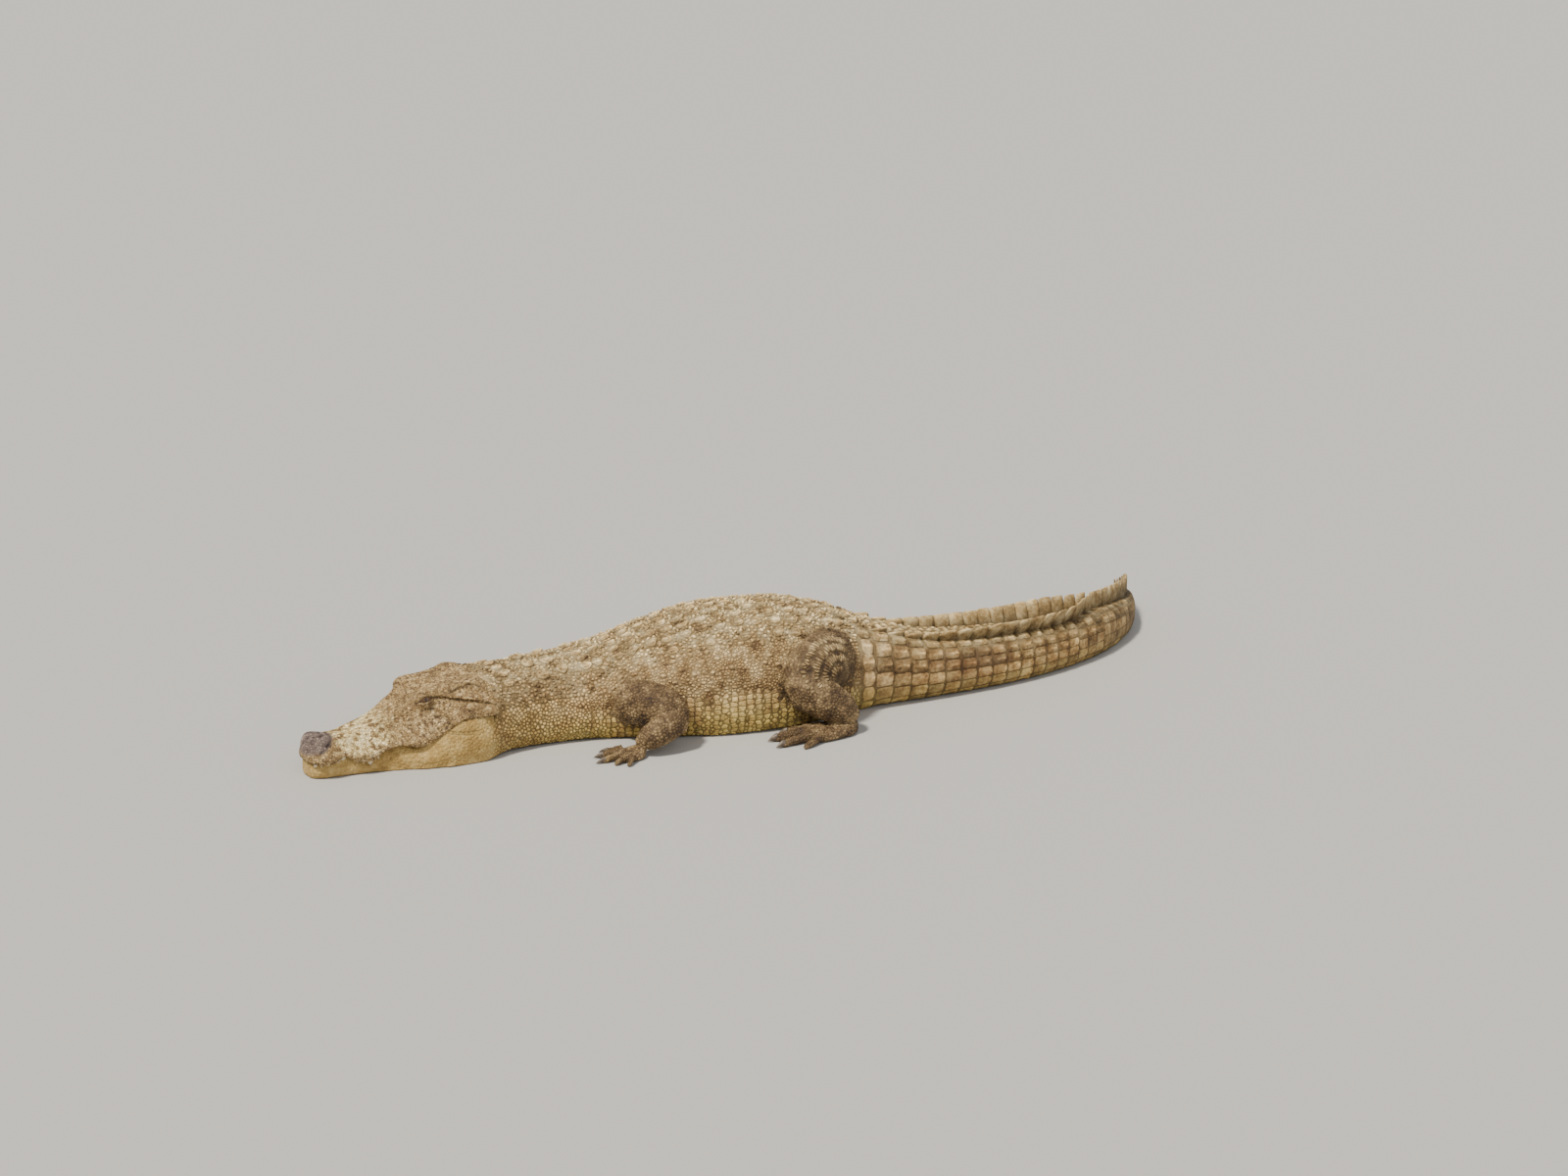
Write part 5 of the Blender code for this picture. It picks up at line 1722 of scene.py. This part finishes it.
# %% Claws
def claw(start, axis, radius):
    across = np.array([-axis[1], axis[0], 0])
    turn = np.linspace(0, 2 * math.pi, 17)[:-1]
    rings = []
    for share in (0.0, 0.12, 0.26, 0.4, 0.55, 0.7, 0.83, 0.93, 0.98):
        along = -0.006 + (CLAW_LENGTH + 0.004) * share
        thick = 0.72 * radius * (1 - share**1.6) + 0.0004
        rise = radius * (0.98 - 0.78 * share**1.5) + 0.0006
        ring = start + axis * along + across * (thick * 0.78 * np.cos(turn))[:, None]
        ring[:, 2] = rise + thick * np.sin(turn)
        ring[:, 2] = np.maximum(ring[:, 2], 0.0002)
        rings.append(ring)
    return loft(between(rings, 2))


claws = []
for limb in range(4):
    kind, mirror = limb_lines[limb][:2]
    limb_name = f"claws_{'hand' if kind == 'arm' else 'foot'}_{'left' if mirror > 0 else 'right'}"
    claws.append(small_piece(limb_name, [claw(*line) for line in claw_lines[3 * limb:3 * limb + 3]]))
print("claws:", [piece.name for piece in claws])

# %% [markdown]
# ## Which piece stands for which solid
# One skin stands for every solid of flesh. Eyes and claws take the place of their own plain solids.

# %% Ride and replace
FLESH = [name for name in frame["nodes"] if not name.startswith(("eye_", "claw_"))]
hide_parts(*FLESH)
for eye in eyes:
    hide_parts(eye.name.replace("eyeball", "eye"))
for piece in claws:
    stem = piece.name.replace("claws", "claw")
    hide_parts(*[name for name in frame["nodes"] if name.startswith(stem)])
for piece in (skin, teeth, *eyes, *claws, *coat):
    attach(piece, "root")
print("flesh nodes replaced:", len(FLESH))

# %% [markdown]
# ## Nodes for the finishes
# Small helpers place shader nodes and link them, so that each finish below reads as a list of what it is made of.

# %% Node helpers
def place_node(tree, kind, inputs=None, **settings):
    made = tree.nodes.new("ShaderNode" + kind)
    for name, value in settings.items():
        setattr(made, name, value)
    for socket, value in (inputs or {}).items():
        if isinstance(value, bpy.types.NodeSocket):
            tree.links.new(value, made.inputs[socket])
        else:
            made.inputs[socket].default_value = value
    return made


def attribute(tree, name):
    return place_node(tree, "Attribute", attribute_name=name).outputs["Fac"]


def object_place(tree):
    return place_node(tree, "TexCoord").outputs["Object"]


def cloud(tree, place, scale, detail=3.0, rough=0.55, stretch=0.0):
    return place_node(tree, "TexNoise", {"Vector": place, "Scale": scale, "Detail": detail, "Roughness": rough,
                                         "Distortion": stretch}).outputs["Fac"]


def cracks_in(tree, place, scale):
    """The distance to the borders of uneven cells."""
    made = place_node(tree, "TexVoronoi", {"Vector": place, "Scale": scale}, feature="DISTANCE_TO_EDGE")
    return made.outputs["Distance"]


def remap(tree, value, low, high, first=0.0, last=1.0, soft=False):
    return place_node(tree, "MapRange", {"Value": value, "From Min": low, "From Max": high, "To Min": first,
                                         "To Max": last},
                      interpolation_type="SMOOTHSTEP" if soft else "LINEAR").outputs["Result"]


def calc(tree, operation, first, second=0.0):
    return place_node(tree, "Math", {0: first, 1: second}, operation=operation).outputs[0]


def blend(tree, share, first, second, way="MIX"):
    return place_node(tree, "Mix", {0: share, 6: first, 7: second}, data_type="RGBA",
                      blend_type=way).outputs[2]


def ramp(tree, value, stops):
    made = place_node(tree, "ValToRGB", {"Fac": value})
    elements = made.color_ramp.elements
    while len(elements) < len(stops):
        elements.new(0.5)
    for element, (position, colour) in zip(elements, stops):
        element.position = position
        element.color = (*colour, 1)
    return made.outputs["Color"]


def bumpy(tree, bsdf, strength, depth, height):
    made = place_node(tree, "Bump", {"Strength": strength, "Distance": depth, "Height": height})
    tree.links.new(made.outputs["Normal"], bsdf.inputs["Normal"])


def new_group(name, inputs, outputs):
    tree = bpy.data.node_groups.new(name, "ShaderNodeTree")
    for socket, kind, value in inputs:
        made = tree.interface.new_socket(name=socket, in_out="INPUT", socket_type=kind)
        made.default_value = value
    for socket, kind in outputs:
        tree.interface.new_socket(name=socket, in_out="OUTPUT", socket_type=kind)
    return tree, tree.nodes.new("NodeGroupInput").outputs, tree.nodes.new("NodeGroupOutput").inputs


def new_material(name, roughness, **constants):
    """A material with a Principled BSDF whose constants are set on its own sockets."""
    material = bpy.data.materials.new(name)
    material.use_nodes = True
    bsdf = material.node_tree.nodes["Principled BSDF"]
    bsdf.inputs["Roughness"].default_value = roughness
    for socket, value in constants.items():
        bsdf.inputs[socket.replace("_", " ")].default_value = value
    return material, material.node_tree, bsdf


# %% [markdown]
# ## The markings of the hide
# Skin and scales carry the same markings, so both use one node group. It reads the soft masks on each piece:
# pale straw on the back, tan with rusty patches on the flank, yellowish below, dark limbs and a freckled head
# with a chalky snout and a grey nose. It also paints light and shade: hollows between scales and the grooves of
# folds get painted shade, and the tops of scales a painted highlight.

# %% Hide group
tree, given, result = new_group(
    "hide_markings",
    [("Brightness", "NodeSocketFloat", 1.0), ("Recess", "NodeSocketFloat", 1.0), ("Grain", "NodeSocketFloat", 1.0)],
    [("Color", "NodeSocketColor"), ("Roughness", "NodeSocketFloat"), ("Height", "NodeSocketFloat")],
)
place = object_place(tree)
belly, limb, head, jaw, rear, relief, tone, fold, nose, chalk = (
    attribute(tree, name) for name in (*MASKS, "relief", "tone", "fold", "nose", "chalk"))
patches = cloud(tree, place, 5.5, 3.0, 0.6, 0.4)
mottle = cloud(tree, place, 26.0, 4.0, 0.6)
speckle = cloud(tree, place, 130.0, 4.0, 0.65)
grain = cloud(tree, place, 620.0, 2.0, 0.6)
wear = calc(tree, "ADD", calc(tree, "MULTIPLY", mottle, 0.6), calc(tree, "MULTIPLY", speckle, 0.4))

# %% Colours of the body and the legs
back = ramp(tree, wear, [(0.37, (0.2, 0.12, 0.05)), (0.48, (0.54, 0.372, 0.166)), (0.59, (0.85, 0.68, 0.39))])
rump = ramp(tree, wear, [(0.36, (0.17, 0.1, 0.038)), (0.48, (0.36, 0.24, 0.095)), (0.61, (0.6, 0.46, 0.24))])
back = blend(tree, calc(tree, "MULTIPLY", rear, 0.9), back, rump)
flank = ramp(tree, wear, [(0.37, (0.19, 0.106, 0.044)), (0.48, (0.43, 0.275, 0.115)), (0.6, (0.69, 0.5, 0.26))])
rust = remap(tree, patches, 0.5, 0.64, 0.0, 0.7, soft=True)
under = ramp(tree, wear, [(0.35, (0.24, 0.15, 0.045)), (0.48, (0.43, 0.3, 0.078)), (0.62, (0.6, 0.45, 0.16))])
under = blend(tree, rust, under, (0.23, 0.11, 0.036, 1))
tail_side = ramp(tree, wear, [(0.37, (0.14, 0.072, 0.025)), (0.48, (0.35, 0.202, 0.066)),
                              (0.6, (0.64, 0.44, 0.19))])
tail_side = blend(tree, rust, tail_side, (0.15, 0.066, 0.026, 1))
under_tail = ramp(tree, wear, [(0.36, (0.13, 0.08, 0.024)), (0.48, (0.27, 0.175, 0.05)),
                               (0.61, (0.47, 0.34, 0.13))])
under = blend(tree, rear, under, under_tail)
flank = blend(tree, calc(tree, "MULTIPLY", rear, 0.85), flank, tail_side)
trunk = blend(tree, remap(tree, belly, 0.22, 0.52, soft=True), back, flank)
uneven_belly = calc(tree, "ADD", belly, calc(tree, "MULTIPLY", mottle, 0.25))
trunk = blend(tree, remap(tree, uneven_belly, 0.78, 1.1, soft=True), trunk, under)
leg = ramp(tree, wear, [(0.37, (0.052, 0.03, 0.016)), (0.49, (0.122, 0.076, 0.034)), (0.62, (0.3, 0.205, 0.1))])
trunk = blend(tree, limb, trunk, leg)

# %% Colours of the head
blotch = cloud(tree, place, 72.0, 4.0, 0.62, 0.3)
worn = calc(tree, "ADD", calc(tree, "MULTIPLY", blotch, 0.6), calc(tree, "MULTIPLY", wear, 0.4))
pale = ramp(tree, worn, [(0.38, (0.15, 0.09, 0.04)), (0.49, (0.33, 0.212, 0.086)), (0.6, (0.59, 0.43, 0.22))])
freckles = remap(tree, cloud(tree, place, 150.0, 2.0, 0.5), 0.54, 0.6, 0.0, 0.85, soft=True)
skull = blend(tree, freckles, pale, (0.11, 0.068, 0.036, 1))
white = ramp(tree, worn, [(0.39, (0.21, 0.13, 0.055)), (0.48, (0.54, 0.395, 0.165)), (0.57, (0.82, 0.68, 0.38))])
skull = blend(tree, calc(tree, "MULTIPLY", chalk, remap(tree, blotch, 0.4, 0.5, soft=True)), skull, white)
chin = ramp(tree, wear, [(0.35, (0.245, 0.145, 0.042)), (0.48, (0.35, 0.225, 0.068)), (0.62, (0.47, 0.33, 0.13))])
trunk = blend(tree, head, trunk, skull)
trunk = blend(tree, jaw, trunk, chin)
trunk = blend(tree, nose, trunk, ramp(tree, worn, [(0.38, (0.08, 0.058, 0.052)), (0.62, (0.29, 0.215, 0.175))]))

# %% Shade, gloss and grain
by_tone = remap(tree, tone, 0.0, 1.0, 0.48, 1.52)
# painted shade in the hollows between scales and painted highlight on their tops, from the relief of each point
relief_shade_and_highlight = remap(tree, relief, 0.0, 1.0, 0.2, 1.3)
relief_shade_and_highlight = blend(tree, given["Recess"], (1, 1, 1, 1), relief_shade_and_highlight)
shade = calc(tree, "MULTIPLY", by_tone, given["Brightness"])
# painted shade along the grooves of folds, and paler where a fold's number is below zero
shade = calc(tree, "MULTIPLY", shade, remap(tree, fold, -1.0, 1.0, 1.78, 0.22))
shaded = blend(tree, 1.0, trunk, shade, "MULTIPLY")
shaded = blend(tree, 1.0, shaded, relief_shade_and_highlight, "MULTIPLY")
tree.links.new(shaded, result["Color"])
tree.links.new(remap(tree, speckle, 0.3, 0.7, 0.52, 0.76), result["Roughness"])
cracks = remap(tree, cracks_in(tree, place, 210.0), 0.0, 0.1, 0.0, 1.0, soft=True)
height = calc(tree, "ADD", calc(tree, "MULTIPLY", speckle, 0.8), calc(tree, "MULTIPLY", grain, 0.25))
height = calc(tree, "ADD", height, calc(tree, "MULTIPLY", cracks, 0.35))
tree.links.new(calc(tree, "MULTIPLY", height, given["Grain"]), result["Height"])
HIDE = tree
print("hide group:", len(tree.nodes), "nodes")


# %% Hide materials
def hide_material(name, brightness, recess, grain, bump):
    material, tree, bsdf = new_material(name, 0.6, Specular_IOR_Level=0.27)
    group = place_node(tree, "Group", node_tree=HIDE)
    for socket, value in (("Brightness", brightness), ("Recess", recess), ("Grain", grain)):
        group.inputs[socket].default_value = value
    tree.links.new(group.outputs["Color"], bsdf.inputs["Base Color"])
    tree.links.new(group.outputs["Roughness"], bsdf.inputs["Roughness"])
    bumpy(tree, bsdf, bump, 0.0026, group.outputs["Height"])
    return material


skin.data.materials.append(hide_material("bare_skin", 1.0, 1.0, 1.0, 0.6))
scale_finish = hide_material("scale_horn", 1.0, 1.0, 1.0, 0.9)
for piece in coat:
    piece.data.materials.append(scale_finish)

# %% [markdown]
# ## Eyes, teeth and claws
# The iris is dark brown with paler threads round an upright slit. A thin clear coat on the shader gives the wet
# shine. Teeth are stained ivory. Claws are dark horn with paler worn patches.

# %% Finishes of eyes, teeth and claws
material, tree, bsdf = new_material("eye_wet", 0.22, Coat_Weight=0.12, Coat_Roughness=0.1, Specular_IOR_Level=0.25)
gaze = place_node(tree, "Attribute", attribute_name="gaze").outputs["Vector"]
parts = place_node(tree, "SeparateXYZ", {0: gaze})
forward, upward, outward = parts.outputs
outward_way = place_node(tree, "VectorMath", {0: gaze}, operation="NORMALIZE").outputs[0]
threads = cloud(tree, outward_way, 9.0, 5.0, 0.7, 1.2)
iris = ramp(tree, threads, [(0.3, (0.024, 0.011, 0.006)), (0.5, (0.068, 0.034, 0.016)),
                            (0.7, (0.15, 0.092, 0.042))])
upward_squared = calc(tree, "MULTIPLY", upward, upward)
reach = calc(tree, "SQRT", calc(tree, "ADD", calc(tree, "MULTIPLY", forward, forward), upward_squared))
round_iris = remap(tree, reach, 0.62, 0.74, soft=True)
eye_colour = blend(tree, round_iris, iris, (0.04, 0.024, 0.014, 1))
slit = calc(tree, "ADD", calc(tree, "ABSOLUTE", forward), calc(tree, "MULTIPLY", upward_squared, 0.3))
pupil = remap(tree, slit, 0.06, 0.105, 1.0, 0.0, soft=True)
pupil = calc(tree, "MULTIPLY", pupil, remap(tree, outward, 0.0, 0.2))
eye_colour = blend(tree, pupil, eye_colour, (0.006, 0.005, 0.004, 1))
tree.links.new(eye_colour, bsdf.inputs["Base Color"])
for eye in eyes:
    eye.data.materials.append(material)

material, tree, bsdf = new_material("tooth_ivory", 0.32)
place = object_place(tree)
stain = cloud(tree, place, 90.0, 4.0, 0.6)
ivory = ramp(tree, stain, [(0.34, (0.28, 0.19, 0.09)), (0.5, (0.52, 0.41, 0.24)), (0.66, (0.74, 0.64, 0.45))])
tree.links.new(ivory, bsdf.inputs["Base Color"])
bumpy(tree, bsdf, 0.25, 0.0005, cloud(tree, place, 700.0))
teeth.data.materials.append(material)

material, tree, bsdf = new_material("claw_horn", 0.42)
place = object_place(tree)
grown = cloud(tree, place, 160.0, 4.0, 0.6)
horn = ramp(tree, grown, [(0.3, (0.04, 0.028, 0.018)), (0.55, (0.11, 0.08, 0.052)), (0.75, (0.26, 0.205, 0.14))])
tree.links.new(horn, bsdf.inputs["Base Color"])
bumpy(tree, bsdf, 0.4, 0.0006, cloud(tree, place, 420.0))
for piece in claws:
    piece.data.materials.append(material)
print("materials:", sorted(m.name for m in bpy.data.materials))

# %% [markdown]
# ## Stage: floor, light and camera
# A plain pale floor, a warm light high on the left, a wide weak one low in front on the right, and an even room.
# Both lights are suns, so the floor is as bright far away as close by. The camera stands some six metres off and
# two metres up, where an adult on a low bank would hold it.

# %% Floor and lights
floor = bmesh.new()
bmesh.ops.create_grid(floor, x_segments=1, y_segments=1, size=400)
floor = to_object("floor", floor)
material, tree, bsdf = new_material("floor_pale", 0.85)
bsdf.inputs["Base Color"].default_value = (0.44, 0.43, 0.41, 1)
floor.data.materials.append(material)


def soft_light(name, place, angle, power, colour):
    """An even light from far away, whose shadows have edges as soft as its angle is wide."""
    light = bpy.data.lights.new(name, "SUN")
    light.angle = math.radians(angle)
    light.energy = power
    light.color = colour
    lamp = bpy.data.objects.new(name, light)
    lamp.location = place
    lamp.rotation_euler = (-Vector(place)).to_track_quat("-Z", "Y").to_euler()
    bpy.context.scene.collection.objects.link(lamp)
    return lamp


soft_light("key", (-2.3, -1.3, 4.4), 8, 4.9, (1.0, 0.94, 0.83))
soft_light("fill", (2.0, -4.5, 2.4), 60, 0.9, (0.98, 0.98, 1.0))
world = bpy.data.worlds.new("room")
bpy.context.scene.world = world
world.use_nodes = True
world.node_tree.nodes["Background"].inputs["Color"].default_value = (0.92, 0.93, 0.94, 1)
world.node_tree.nodes["Background"].inputs["Strength"].default_value = 0.56

# %% Camera
CAMERA_YAW, CAMERA_PITCH = math.radians(16.3), math.radians(16.1)
CAMERA_RIGHT, CAMERA_BACK, CAMERA_HEIGHT = 0.79, 5.68, 2.04
right = np.array([math.cos(CAMERA_YAW), -math.sin(CAMERA_YAW), 0])
ahead = np.array([math.sin(CAMERA_YAW), math.cos(CAMERA_YAW), 0])
lens = bpy.data.cameras.new("camera")
lens.lens = 56.25
lens.sensor_width = 36
camera = bpy.data.objects.new("camera", lens)
camera.location = on_body(0, 0, 0) + CAMERA_RIGHT * right - CAMERA_BACK * ahead + np.array([0, 0, CAMERA_HEIGHT])
camera.rotation_euler = (math.pi / 2 - CAMERA_PITCH, 0, -CAMERA_YAW)
bpy.context.scene.collection.objects.link(camera)
bpy.context.scene.camera = camera
print("camera at", [round(v, 3) for v in camera.location])

# %% [markdown]
# ## Sizes, and the end
# The dressed model is kept inside the box of the imported one, and that box is printed.

# %% Write the sizes and finish
print("packed box ", [[round(v, 4) for v in corner] for corner in CAD_BOX])
